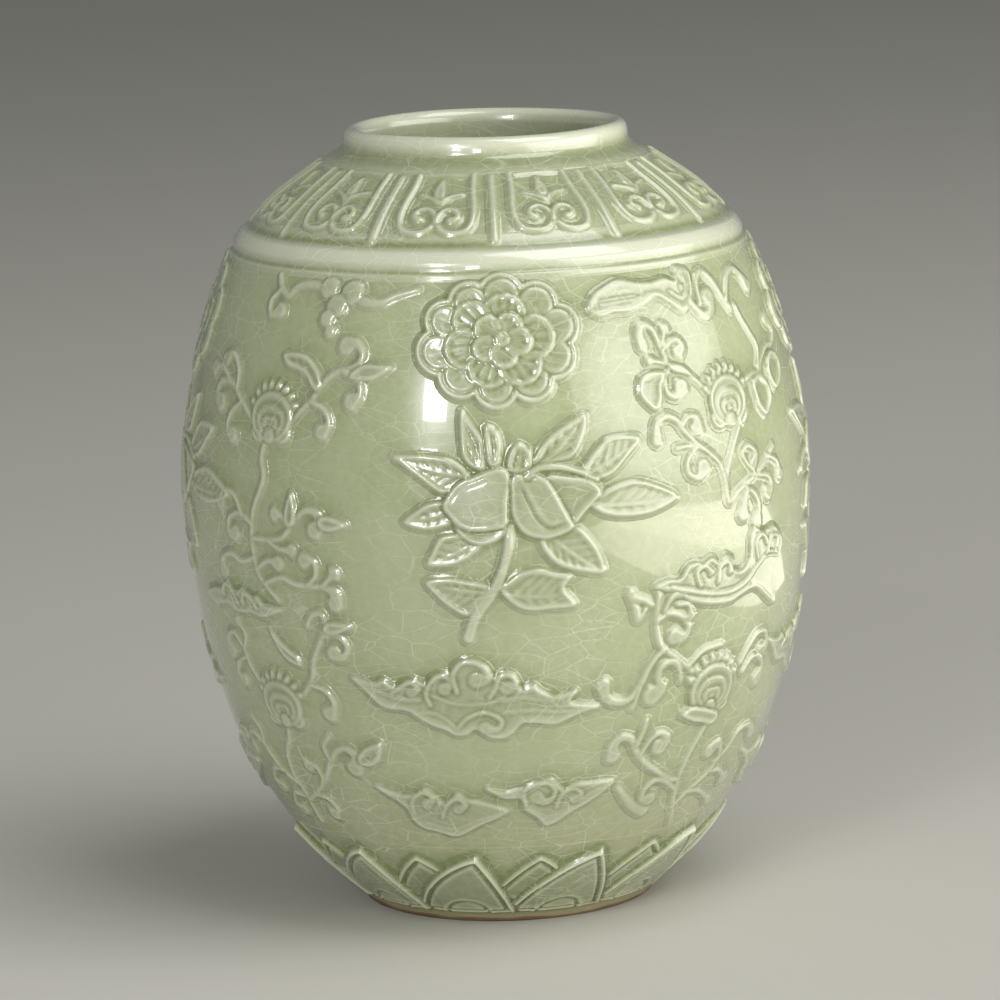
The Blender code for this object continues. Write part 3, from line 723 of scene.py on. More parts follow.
lappet = Sprig(-15.0, 15.0, 209.0, 231.0, skin=0.06)
RUYI_EDGE = [(0.3, 217.6), (-2.0, 215.3), (-6.0, 214.7), (-9.7, 215.6), (-11.0, 218.2), (-10.5, 221.6),
             (-8.9, 225.6), (-8.0, 229.4)]
RUYI_OTHER = [(0.3, 217.6), (2.6, 215.3), (6.4, 214.6), (10.0, 215.4), (11.2, 218.0), (10.8, 221.4),
              (9.3, 225.4), (8.3, 229.4)]
lappet.stem([(-8.0, 229.3), (0.0, 229.6), (8.3, 229.3)], 1.1, 1.1, rise=0.6)
for edge in (RUYI_EDGE, RUYI_OTHER):
    lappet.stem(edge[::-1], 1.7, 1.9, rise=1.15)
lappet.stem([(0.3, 217.6), (-0.8, 219.9), (-3.2, 220.9), (-5.6, 220.3), (-6.4, 218.9), (-5.0, 218.2)],
            1.7, 1.5, rise=1.2, head=2.6)
lappet.stem([(0.3, 217.6), (1.5, 220.0), (4.0, 220.8), (6.3, 219.9), (6.6, 218.4), (5.0, 217.9)],
            1.7, 1.6, rise=1.2, head=3.0)
lappet.petal([(-1.6, 223.4), (-2.2, 225.2), (-0.4, 228.2), (1.2, 225.6), (1.4, 223.2), (0.2, 221.8)],
             rise=1.0, rim=0.25, dish=0.2)
lappet.stem([(0.4, 222.6), (3.0, 223.9), (6.6, 224.6)], 1.9, 0.9, rise=1.0)
lappet.stem([(-0.4, 222.6), (-3.2, 223.7), (-6.0, 224.4)], 1.9, 0.9, rise=1.0)
lappet.set_up()

LAPPETS = 12
for index in range(LAPPETS):
    bar_turn, lappet_turn = [2.0 * math.pi * (index + part) / LAPPETS for part in (0.0, 0.5)]
    bar.press_on(f"shoulder_bar_{index + 1:02d}", f"bar_{index + 1:02d}", bar_turn)
    lappet.press_on(f"ruyi_lappet_{index + 1:02d}", f"lappet_{index + 1:02d}", lappet_turn)


# ---- peony flowers ----
# Each of the four panels carries an open peony below the cordon, sprigged from a mould.
# Ten scalloped petals with a double raised edge stand round smaller petals and a round heart.

PANELS = 4
FLOWER_MIDDLE = (-0.3, 184.8)
OUTER_PETALS = [(0.9, 197.4, 7.2), (-8.0, 195.6, 6.8), (-15.0, 190.6, 6.8), (-17.6, 182.2, 7.2),
                (-11.6, 175.6, 7.0), (-1.6, 172.2, 6.8), (8.8, 173.8, 6.8), (15.4, 180.0, 7.2),
                (16.6, 188.2, 7.2), (10.6, 194.6, 7.2)]
INNER_PETALS = [(1.4, 192.0, 6.6), (-7.6, 190.8, 6.0), (-10.2, 183.0, 6.2), (-3.6, 177.6, 6.2),
                (5.6, 178.2, 6.4), (9.6, 185.6, 6.6)]
HEART_PETALS = [(2.6, 188.9, 4.2), (-3.4, 188.3, 4.1), (-4.2, 182.9, 4.0), (1.0, 181.0, 4.1),
                (5.4, 184.6, 4.2)]


def lay_peony(sprig):
    """Petals from the outside in, each ring over the one before."""
    middle = climb([FLOWER_MIDDLE])[0]
    rings = [climb([petal[:2] for petal in ring]) for ring in (OUTER_PETALS, INNER_PETALS, HEART_PETALS)]
    cut = sprig.around(rings[0], 11.0)
    x, v = sprig.across[cut], sprig.rise[cut]
    from_middle = np.hypot(x - middle[0], v - middle[1])
    bearing = np.arctan2(v - middle[1], x - middle[0])
    depth = 15.5 - np.hypot((x - middle[0]) / 1.05, v - middle[1])
    for (place_x, place_v), (_, _, radius) in zip(rings[0], OUTER_PETALS):
        depth = np.maximum(depth, radius - np.hypot(x - place_x, v - place_v))
    height = 1.15 + 0.62 * ridge(depth - 0.75, 0.5) - 0.42 * ridge(depth - 1.75, 0.5)
    height += 0.36 * ridge(depth - 2.9, 0.55) - 0.40 * soft_step(depth, 3.4, 8.0)
    fans = 0.5 + 0.5 * np.cos(46.0 * bearing + 1.5 * np.sin(5.0 * bearing))
    height += 0.10 * fans * soft_step(depth, 3.2, 4.6)
    bearings = np.sort(np.arctan2(rings[0][:, 1] - middle[1], rings[0][:, 0] - middle[0]))
    for start, end in zip(bearings, np.append(bearings[1:], bearings[0] + 2.0 * math.pi)):
        crease = 0.5 * (start + end)
        off = np.sin(bearing - crease) * from_middle
        height -= 0.42 * ridge(off, 0.5) * (np.cos(bearing - crease) > 0.0) * soft_step(depth, 1.0, 3.0)
    sprig.lay(cut, depth, height)
    for ring, sizes, level in ((rings[1], INNER_PETALS, 1.30), (rings[2], HEART_PETALS, 1.62)):
        for (place_x, place_v), (_, _, radius) in zip(ring, sizes):
            cut = sprig.around(np.array([(place_x, place_v)]), radius + 4.0)
            x, v = sprig.across[cut], sprig.rise[cut]
            depth = radius - np.hypot(x - place_x, v - place_v)
            outward = ((x - middle[0]) * (place_x - middle[0]) + (v - middle[1]) * (place_v - middle[1]))
            outward = outward / max(np.hypot(place_x - middle[0], place_v - middle[1]), 1e-6)
            outward = outward - np.hypot(place_x - middle[0], place_v - middle[1])
            height = level + 0.42 * ridge(depth - 0.8, 0.6) * soft_step(outward, 0.5, 3.5)
            height -= 0.30 * soft_step(depth, 1.0, 2.6)
            height += 0.14 * np.cos(26.0 * np.arctan2(v - middle[1], x - middle[0]) + place_x)
            sprig.lay(cut, depth, height, groove=0.26)
    sprig.bead((0.6, 185.4), 2.4, rise=1.95, groove=0.3)
    sprig.carve([(-0.8, 186.6), (0.4, 187.2), (1.5, 186.0), (0.8, 184.6), (-0.2, 185.2)], 0.35, 0.5)


flower = Sprig(-29.0, 29.0, 160.0, 207.0, skin=0.065)
lay_peony(flower)
flower.set_up()
panel_turns = [2.0 * math.pi * index / PANELS for index in range(PANELS)]
for index, turn in enumerate(panel_turns):
    flower.press_on(f"peony_blossom_{index + 1}", f"peony_flower_{index + 1}", turn)


# ---- peony sprays ----
# Below each blossom a leafy spray rises on a bare stem to two fat opening buds.
# It is one sprig from the same mould, with its leaf edges sharpened by hand.


def lay_leaves(sprig, leaves):
    """Leaves given as (outline, base, tip, number of side veins)."""
    for outline, base, tip, veins in leaves:
        sprig.leaf(outline, base, tip, veins)


spray = Sprig(-38.0, 58.0, 93.0, 171.0, skin=0.05)
lay_leaves(spray, [
    ([(-23.8, 120.9), (-18.9, 120.4), (-13.2, 121.8), (-7.6, 126.0), (-6.4, 130.0), (-14.0, 130.3),
      (-19.6, 129.0), (-22.2, 124.6)], (-6.8, 129.0), (-23.8, 120.9), 5),
    ([(-30.5, 133.6), (-26.3, 137.0), (-22.2, 139.2), (-16.4, 139.4), (-14.0, 134.1), (-21.9, 131.4),
      (-27.1, 131.9)], (-14.6, 137.8), (-30.5, 133.6), 5),
    ([(-24.4, 115.9), (-17.9, 117.0), (-11.1, 116.0), (-5.2, 114.0), (-8.4, 109.2), (-12.1, 105.4),
      (-17.7, 108.3), (-21.5, 111.8)], (-6.4, 112.4), (-24.4, 115.9), 6),
    ([(-2.7, 113.4), (0.2, 116.0), (3.9, 118.4), (9.0, 118.9), (14.2, 117.4), (18.6, 116.3),
      (16.4, 112.6), (19.6, 107.4), (12.4, 106.7), (5.5, 106.6), (1.0, 108.8)], (-2.0, 112.0),
     (17.4, 111.0), 6),
    ([(9.6, 127.4), (13.6, 129.6), (19.6, 131.6), (24.5, 127.2), (27.8, 121.6), (28.4, 116.4),
      (20.9, 117.4), (14.6, 119.8), (11.0, 123.4)], (12.0, 129.0), (28.4, 116.4), 6),
    ([(24.6, 137.4), (30.6, 141.0), (38.7, 142.8), (46.4, 140.6), (53.4, 136.3), (44.8, 132.7),
      (35.8, 132.3), (28.6, 133.8)], (25.0, 136.6), (53.4, 136.3), 7),
    ([(22.6, 146.6), (27.0, 153.0), (32.2, 156.0), (41.2, 155.0), (36.6, 149.4), (31.4, 145.0),
      (26.0, 144.2)], (22.8, 145.8), (41.2, 155.0), 6),
    ([(6.4, 146.8), (10.3, 154.2), (15.3, 158.8), (24.2, 163.2), (23.4, 156.8), (20.0, 151.2),
      (13.6, 149.6)], (7.0, 146.6), (24.2, 163.2), 6),
    ([(-12.1, 165.9), (-9.0, 162.2), (-6.2, 157.5), (-5.6, 152.6), (-6.8, 148.4), (-11.6, 151.6),
      (-12.6, 158.7)], (-6.6, 148.6), (-12.1, 165.9), 5),
    ([(-33.0, 152.6), (-26.3, 153.2), (-19.9, 152.8), (-14.8, 151.4), (-10.2, 147.2), (-13.8, 143.4),
      (-18.6, 142.0), (-24.8, 146.2), (-29.9, 150.0)], (-11.0, 146.8), (-33.0, 152.6), 7),
    ([(-5.6, 160.6), (-3.8, 161.4), (-1.8, 159.8), (-0.8, 155.4), (-2.0, 149.6), (-5.0, 150.6)],
     (-2.8, 149.4), (-4.2, 161.0), 4),
    ([(0.6, 148.4), (1.6, 153.4), (4.2, 156.0), (7.8, 153.4), (7.4, 148.4), (3.6, 147.2)], (3.0, 147.6),
     (4.6, 156.0), 4),
])
spray.stem([(-12.2, 98.8), (-9.9, 105.1), (-5.0, 112.0), (-1.8, 118.4), (0.2, 125.6), (0.6, 133.0),
            (1.0, 140.0)], 3.3, 2.6, rise=1.45)
spray.petal([(12.0, 146.2), (19.5, 145.4), (24.9, 144.2), (28.2, 140.4), (23.6, 135.2), (18.8, 131.0),
             (14.4, 135.6), (12.6, 140.8)], rise=1.45, rim=0.35, dish=0.45)
spray.petal([(-15.6, 134.4), (-12.6, 128.6), (-7.3, 126.6), (-1.4, 128.8), (0.9, 134.2), (-2.6, 140.0),
             (-10.0, 141.0)], rise=1.15, rim=0.45, dish=0.35)
spray.petal([(-18.5, 138.7), (-14.2, 144.7), (-9.4, 146.9), (-3.1, 149.0), (0.6, 148.2), (1.4, 144.9),
             (0.6, 139.0), (0.0, 132.4), (-3.8, 131.0), (-9.4, 130.7), (-13.6, 131.9), (-16.6, 135.1)],
            rise=1.7, rim=0.32, dish=-0.25)
spray.petal([(1.9, 146.6), (5.8, 146.7), (10.8, 146.2), (14.2, 141.8), (16.4, 137.4), (18.4, 133.6),
             (19.4, 130.4), (14.3, 128.2), (9.7, 127.9), (4.8, 129.8), (1.9, 134.4), (1.3, 140.4)],
            rise=1.65, rim=0.38, dish=-0.1)
spray.carve([(4.1, 144.6), (6.4, 139.0), (9.0, 133.6), (12.6, 131.0), (18.0, 132.4)], 0.5, 0.55)
spray.carve([(5.4, 144.6), (7.8, 139.2), (10.4, 134.6), (13.0, 132.4), (17.4, 133.6)], 0.45, -0.35)
spray.stem([(6.6, 146.2), (9.6, 148.4), (16.2, 148.4), (21.9, 146.6), (27.2, 143.8)], 2.4, 1.3, rise=1.7)
spray.set_up()
for index, turn in enumerate(panel_turns):
    spray.press_on(f"peony_bud_spray_{index + 1}", f"peony_spray_{index + 1}", turn)


# ---- cloud scrolls ----
# Under each spray floats one large ruyi cloud with two small ones below it. They are flat
# sprigs with a rolled edge and curled heads, and their tails run out to thin points.


def lay_cloud_runs(sprig, runs):
    """Curled heads and flat tails on a cloud, as (points, start width, end width, head)."""
    for points, start, end, head in runs:
        if head:
            sprig.stem(points, start, end, rise=1.6, head=head, groove=0.3)
        else:
            sprig.stem(points, start, end, rise=1.36, groove=0.10)


cloud = Sprig(-54.0, 32.0, 61.0, 98.0, skin=0.07)
cloud.petal([(-48.9, 85.5), (-41.5, 84.4), (-38.3, 85.4), (-33.6, 83.0), (-31.3, 84.8), (-28.9, 86.2),
             (-25.6, 84.8), (-23.4, 84.0), (-22.6, 87.2), (-19.5, 88.4), (-17.2, 88.8), (-15.5, 91.2),
             (-12.1, 92.4), (-8.6, 91.0), (-6.4, 88.2), (-4.1, 86.8), (-2.0, 88.3), (0.9, 87.2),
             (2.0, 84.4), (3.2, 82.6), (6.3, 83.8), (8.6, 81.8), (12.4, 80.2), (19.4, 81.0), (17.4, 77.9),
             (20.4, 76.8), (26.4, 75.4), (19.0, 73.2), (12.8, 70.8), (7.6, 71.4), (3.1, 71.7),
             (0.4, 69.0), (-2.6, 67.2), (-6.4, 67.4), (-10.8, 70.1), (-13.2, 68.6), (-16.6, 68.3),
             (-19.8, 70.0), (-22.9, 71.0), (-27.0, 73.1), (-31.2, 75.7), (-38.7, 76.6), (-44.1, 81.1)],
            rise=1.25, rim=0.24, dish=0.18)
lay_cloud_runs(cloud, [
    ([(-24.0, 78.0), (-25.2, 81.6), (-23.0, 86.0), (-19.6, 87.2), (-17.4, 85.0), (-19.6, 83.2)],
     1.5, 1.8, 4.4),
    ([(-16.0, 82.0), (-17.0, 87.6), (-14.6, 91.0), (-10.8, 91.3), (-7.4, 89.0), (-7.4, 86.2),
      (-10.0, 85.8)], 1.5, 2.0, 5.4),
    ([(-6.6, 80.2), (-4.6, 83.4), (-3.4, 86.6), (-0.2, 87.0), (1.2, 84.4), (-1.4, 83.2)], 1.5, 1.9, 4.9),
    ([(-36.6, 80.6), (-33.6, 83.0), (-30.2, 85.0), (-27.6, 83.4), (-29.6, 81.8)], 1.4, 1.7, 3.8),
    ([(-27.6, 79.6), (-33.4, 79.6), (-40.0, 81.6), (-47.4, 84.9)], 2.0, 0.9, 0.0),
    ([(-3.0, 79.4), (3.0, 80.0), (8.0, 79.0), (13.0, 78.7), (18.6, 80.4)], 2.0, 0.9, 0.0),
    ([(-2.0, 75.6), (6.0, 75.8), (14.0, 74.8), (25.4, 75.2)], 2.0, 0.9, 0.0),
    ([(-16.4, 70.4), (-13.0, 74.0), (-7.6, 75.6), (-3.2, 73.0), (-4.6, 70.2), (-8.0, 70.8)],
     1.4, 1.7, 4.1),
    ([(-27.0, 75.4), (-23.0, 75.4), (-19.6, 73.6), (-16.8, 71.0)], 1.4, 1.3, 0.0),
    ([(-23.4, 81.0), (-16.0, 78.4), (-7.0, 78.6), (-2.0, 80.6)], 1.3, 1.2, 0.0),
])
cloud.set_up()

cloud_pair = Sprig(-47.0, 36.0, 29.0, 60.0, skin=0.06)
cloud_pair.petal([(-42.4, 50.4), (-36.9, 46.6), (-33.2, 45.0), (-30.8, 39.8), (-27.4, 36.9),
                  (-23.1, 35.8), (-16.8, 34.2), (-10.5, 37.8), (-1.8, 42.8), (-8.0, 46.3), (-13.4, 47.5),
                  (-16.4, 49.3), (-19.0, 47.6), (-20.6, 46.0), (-23.5, 49.2), (-26.9, 50.9),
                  (-29.4, 49.0), (-34.6, 48.6)], rise=1.25, rim=0.22, dish=0.15)
lay_cloud_runs(cloud_pair, [
    ([(-30.0, 42.0), (-30.6, 46.4), (-27.4, 49.4), (-24.2, 47.8), (-25.8, 45.6)], 1.5, 1.7, 4.4),
    ([(-21.4, 41.0), (-20.0, 45.4), (-16.8, 47.6), (-14.4, 45.6), (-16.4, 44.0)], 1.4, 1.7, 3.8),
    ([(-26.0, 39.0), (-18.0, 37.0), (-11.0, 40.0), (-3.2, 42.6)], 1.6, 0.9, 0.0),
    ([(-32.0, 44.0), (-36.4, 47.4), (-41.2, 49.8)], 1.8, 0.8, 0.0),
])
cloud_pair.petal([(-8.0, 50.7), (-3.1, 47.3), (2.3, 46.9), (2.8, 43.4), (6.8, 40.0), (9.0, 37.2),
                  (12.8, 38.4), (16.5, 41.0), (23.0, 44.4), (30.9, 50.3), (22.8, 51.0), (17.5, 51.0),
                  (15.2, 49.4), (13.5, 51.0), (10.8, 53.5), (6.6, 51.6), (2.0, 50.6), (-3.1, 49.8)],
                 rise=1.25, rim=0.22, dish=0.15)
lay_cloud_runs(cloud_pair, [
    ([(3.6, 44.6), (2.8, 49.4), (6.4, 51.8), (10.6, 51.6), (12.2, 48.2), (9.4, 45.8), (6.6, 47.4)],
     1.5, 1.9, 4.9),
    ([(12.4, 43.6), (14.0, 47.6), (17.4, 49.4), (20.2, 47.6), (18.0, 45.8)], 1.4, 1.6, 3.8),
    ([(19.4, 45.2), (24.0, 47.6), (30.0, 50.0)], 1.8, 0.8, 0.0),
    ([(2.0, 48.6), (-3.0, 48.9), (-7.4, 50.4)], 1.5, 0.8, 0.0),
])
cloud_pair.set_up()

for index, turn in enumerate(panel_turns):
    cloud.press_on(f"ruyi_cloud_{index + 1}", f"cloud_large_{index + 1}", turn)
    cloud_pair.press_on(f"small_clouds_{index + 1}", f"cloud_pair_{index + 1}", turn)


# ---- vine panels ----
# Between the peonies a flowering vine climbs from the petal band to the cordon. Its stems,
# curls and side flowers are rolled one by one, so they vary in width. Two designs take turns
# round the vase.


def drop(base, bearing, length, width):
    """Outline of a petal that swells from its base and ends in a blunt tip."""
    way = np.array([math.sin(math.radians(bearing)), math.cos(math.radians(bearing))])
    side = np.array([way[1], -way[0]])
    shape = ((0.0, 0.22), (0.3, 0.40), (0.65, 0.50), (0.9, 0.32), (1.0, 0.0), (0.9, -0.32), (0.65, -0.50),
             (0.3, -0.40), (0.0, -0.22))
    return [tuple(np.array(base) + way * length * along + side * width * off) for along, off in shape]


def lay_side_flower(sprig, centre, size, wide=1.0):
    """A round half-open flower: ringed heart, a comb of small petals above, two lobes below."""
    for bearing in (-132, 132):
        sprig.petal(drop(centre, bearing, 1.28 * size, 0.95 * size), rise=1.15, rim=0.3, dish=0.3)
    for bearing in (-60, -42, -25, -8, 9, 26, 43, 60):
        sprig.petal(drop(centre, bearing * wide, 1.42 * size, 0.40 * size), rise=1.15, rim=0.2, dish=0.2)
    middle = climb([centre])[0]
    cut = sprig.around(np.array([middle]), wide * size + 3.0)
    off_x, off_v = (sprig.across[cut] - middle[0]) / wide, sprig.rise[cut] - middle[1]
    gap = np.hypot(off_x, off_v)
    nested = np.hypot(off_x, off_v + 0.42 * np.clip(size - gap, 0.0, size))
    rings = 1.35 + 0.24 * np.cos(2.0 * np.pi * (nested - size + 0.8) / 2.3) * (gap < size)
    sprig.lay(cut, size - gap, rings)
    sprig.bead((centre[0], centre[1] - 0.72 * size), 0.32 * size, rise=1.6)


def lay_runs(sprig, runs):
    """Curls of clay given as (points, start width, end width, head)."""
    for points, start, end, head in runs:
        if head:
            sprig.stem(points, 0.72 * start, 1.05 * end, rise=1.15, head=1.3 * head)
        else:
            sprig.stem(points, 0.82 * start, 0.82 * end, rise=1.0)


left_high = Sprig(-50.0, 45.0, 96.0, 189.0, skin=0.045)
lay_runs(left_high, [
    ([(0.0, 156.0), (-1.6, 149.6), (-0.6, 142.9), (-5.0, 133.3), (-6.1, 125.9), (-5.2, 117.9),
      (-3.3, 113.2), (3.7, 107.0)], 2.1, 1.9, 0.0),
    ([(9.0, 160.4), (15.8, 167.3), (18.2, 170.5), (21.0, 174.1), (26.0, 177.0)], 1.9, 2.1, 0.0),
    ([(24.0, 176.0), (29.6, 177.8), (31.4, 181.0), (28.8, 184.3), (25.6, 183.6)], 2.2, 2.4, 4.2),
    ([(26.0, 176.4), (31.6, 173.6), (32.6, 169.8), (30.2, 167.8)], 2.2, 2.2, 4.0),
    ([(16.0, 167.0), (21.2, 165.0), (23.4, 161.2), (21.4, 158.8)], 1.9, 2.0, 3.8),
    ([(18.1, 170.4), (16.6, 174.8), (12.6, 176.8)], 2.0, 1.8, 0.0),
    ([(-5.6, 124.7), (1.2, 125.1), (6.9, 126.1), (9.8, 128.8), (13.1, 132.7), (16.9, 135.2),
      (20.5, 134.7), (22.0, 131.9), (20.0, 129.6)], 1.9, 2.2, 4.2),
    ([(10.4, 129.6), (7.4, 132.8), (4.8, 133.2)], 1.9, 2.0, 3.4),
    ([(1.2, 125.1), (5.5, 122.9), (10.6, 122.8)], 1.8, 1.8, 3.2),
    ([(-4.6, 115.6), (0.6, 118.6), (4.6, 118.4)], 1.9, 2.0, 4.0),
    ([(-1.6, 111.4), (5.8, 114.0), (11.4, 112.6), (17.5, 112.6), (22.3, 112.6), (25.9, 110.8),
      (25.4, 108.0)], 2.0, 2.1, 4.0),
    ([(16.0, 112.8), (19.4, 116.0), (19.0, 120.2), (15.6, 120.2)], 1.9, 2.1, 3.8),
    ([(21.0, 112.8), (25.6, 116.6)], 1.6, 2.0, 3.6),
    ([(-5.8, 129.0), (-12.0, 131.6), (-17.4, 129.4), (-17.6, 125.4), (-14.6, 125.2)], 1.9, 2.1, 4.0),
    ([(-10.6, 131.2), (-14.6, 136.6), (-20.6, 137.4), (-22.4, 133.6)], 1.9, 2.1, 3.8),
    ([(-5.2, 119.0), (-11.8, 117.0), (-17.4, 118.6), (-22.6, 116.4), (-22.4, 112.8)], 1.9, 2.1, 4.0),
    ([(-7.6, 160.4), (-14.6, 166.0), (-20.0, 169.6), (-26.4, 169.0), (-28.2, 164.8), (-25.2, 163.2)],
     1.9, 2.2, 4.2),
    ([(-16.6, 167.6), (-17.0, 173.6), (-21.4, 177.6), (-25.4, 175.4)], 2.0, 2.2, 4.0),
    ([(-20.6, 169.4), (-26.8, 173.4), (-32.4, 172.4)], 1.8, 1.9, 3.6),
    ([(-13.0, 164.8), (-18.4, 160.6), (-19.6, 156.2), (-16.6, 154.6)], 1.9, 2.0, 3.8),
])
lay_leaves(left_high, [
    ([(3.0, 179.8), (8.4, 180.6), (13.4, 179.4), (17.8, 175.6), (19.2, 171.4), (16.6, 170.4),
      (13.4, 174.0), (9.6, 175.8), (5.4, 176.8)], (18.2, 171.4), (3.0, 179.8), 4),
    ([(28.0, 174.8), (32.0, 173.8), (36.6, 174.4), (41.4, 177.8), (36.4, 178.4), (31.6, 178.2)],
     (28.0, 176.2), (41.4, 177.8), 4),
    ([(21.4, 133.4), (25.4, 133.9), (31.2, 131.9), (25.8, 129.6), (21.8, 130.4)], (21.8, 131.8),
     (31.2, 131.9), 3),
    ([(9.2, 130.2), (8.7, 134.6), (11.2, 140.4), (13.0, 135.8), (12.6, 130.8)], (11.0, 130.0),
     (11.2, 140.4), 3),
])
left_high.petal([(-38.0, 103.6), (-30.6, 101.0), (-22.0, 102.2), (-17.2, 100.6), (-9.7, 101.2),
                 (-3.0, 100.8), (5.0, 104.2), (-2.4, 105.0), (-5.6, 107.2), (-9.6, 106.0), (-12.4, 108.8),
                 (-16.6, 107.4), (-20.9, 110.4), (-25.4, 107.0), (-31.0, 106.4)], rise=1.2, rim=0.26,
                dish=0.2)
left_high.stem([(-16.0, 103.6), (-18.8, 107.4), (-22.6, 108.6), (-24.2, 105.8)], 1.5, 1.7, rise=1.7,
               head=3.0)
left_high.stem([(-6.4, 103.2), (-8.6, 106.2), (-12.4, 106.9), (-13.0, 104.4)], 1.4, 1.6, rise=1.7,
               head=2.8)
lay_side_flower(left_high, (1.4, 161.6), 7.6, 1.12)
left_high.set_up()

left_low = Sprig(-46.0, 40.0, 27.0, 110.0, skin=0.085)
lay_runs(left_low, [
    ([(14.2, 100.4), (16.4, 103.6), (19.6, 104.4), (20.8, 101.4), (18.5, 96.3), (14.6, 89.6),
      (12.6, 83.6), (7.4, 77.6), (2.0, 74.4)], 2.0, 2.0, 0.0),
    ([(19.2, 97.4), (24.4, 98.0), (27.6, 94.8), (25.4, 91.6), (22.6, 92.4)], 1.9, 2.1, 4.0),
    ([(12.0, 81.4), (16.6, 80.2), (19.0, 76.2), (16.6, 73.0)], 1.9, 2.1, 4.0),
    ([(-2.2, 68.0), (-4.0, 62.0), (-7.3, 56.9), (-8.3, 50.0), (-6.2, 43.8), (-5.6, 34.0)], 2.1, 2.2, 0.0),
    ([(-5.0, 41.6), (1.4, 45.8), (6.3, 50.1), (11.0, 56.1), (15.3, 60.8), (19.3, 61.9), (21.9, 59.0),
      (20.0, 55.6)], 2.0, 2.2, 4.2),
    ([(2.6, 46.6), (5.2, 50.4), (4.4, 54.2), (1.4, 54.2)], 1.8, 2.0, 3.8),
    ([(-1.0, 44.0), (3.8, 43.4), (6.0, 40.2), (3.6, 38.2)], 1.8, 2.0, 3.8),
    ([(11.6, 57.0), (10.4, 61.4), (13.6, 65.2)], 1.9, 1.4, 0.0),
    ([(-7.4, 46.6), (-13.6, 50.4), (-18.6, 56.6), (-24.0, 60.6), (-28.6, 58.8), (-28.6, 54.8)],
     2.0, 2.2, 4.2),
    ([(-13.0, 50.2), (-18.6, 49.6), (-21.6, 45.8), (-18.8, 43.6)], 1.8, 2.0, 3.8),
    ([(-7.2, 42.4), (-12.0, 42.6), (-14.8, 39.0), (-12.2, 36.8)], 1.8, 2.0, 3.6),
    ([(-19.6, 57.8), (-19.0, 62.8), (-22.8, 66.4)], 1.9, 1.4, 0.0),
    ([(-8.0, 77.0), (-14.4, 83.4), (-17.2, 89.4), (-21.6, 93.4), (-26.2, 91.0), (-25.0, 87.2)],
     2.0, 2.2, 4.2),
    ([(-15.8, 86.6), (-20.8, 84.6), (-23.4, 80.6), (-20.6, 78.6)], 1.9, 2.1, 3.8),
    ([(-17.0, 89.0), (-14.6, 93.8), (-17.6, 97.4)], 1.9, 1.6, 3.2),
])
lay_leaves(left_low, [
    ([(20.2, 98.8), (24.4, 98.4), (30.4, 101.4), (25.0, 102.2), (21.0, 101.6)], (20.6, 100.0),
     (30.4, 101.4), 3),
    ([(-2.0, 98.0), (0.4, 92.6), (4.0, 88.6), (9.4, 87.0), (9.0, 90.2), (5.4, 92.2), (1.8, 95.0)],
     (11.0, 87.8), (-2.0, 98.0), 4),
    ([(22.0, 58.0), (25.4, 56.8), (29.8, 59.4), (32.0, 64.8), (27.0, 63.6), (23.4, 61.0)], (22.2, 59.6),
     (32.0, 64.8), 3),
    ([(-29.0, 57.2), (-33.4, 56.8), (-38.4, 60.2), (-33.6, 61.6), (-29.4, 60.4)], (-29.0, 58.8),
     (-38.4, 60.2), 3),
])
lay_side_flower(left_low, (-2.4, 74.0), 7.6, 1.12)
left_low.set_up()

left_scroll = Sprig(-14.0, 50.0, 181.0, 206.0, skin=0.075)
lay_runs(left_scroll, [
    ([(-6.6, 201.8), (-4.0, 197.8), (-0.4, 196.3), (2.9, 198.9), (8.8, 199.9), (14.0, 198.2)],
     2.4, 3.2, 0.0),
    ([(-4.0, 197.8), (-7.6, 194.2), (-6.0, 190.6), (-2.6, 191.8)], 2.2, 2.2, 3.8),
    ([(23.5, 197.9), (28.2, 196.0), (33.1, 195.9), (37.4, 197.9), (43.6, 199.6)], 3.8, 1.0, 0.0),
    ([(18.6, 193.0), (17.2, 190.4), (18.6, 187.6)], 3.0, 2.2, 3.0),
])
for centre, size in (((15.0, 199.4), 3.3), ((23.2, 198.4), 3.7), ((19.0, 194.6), 3.4), ((16.8, 190.9), 2.5)):
    left_scroll.bead(centre, size, rise=1.4, groove=0.3)
left_scroll.set_up()

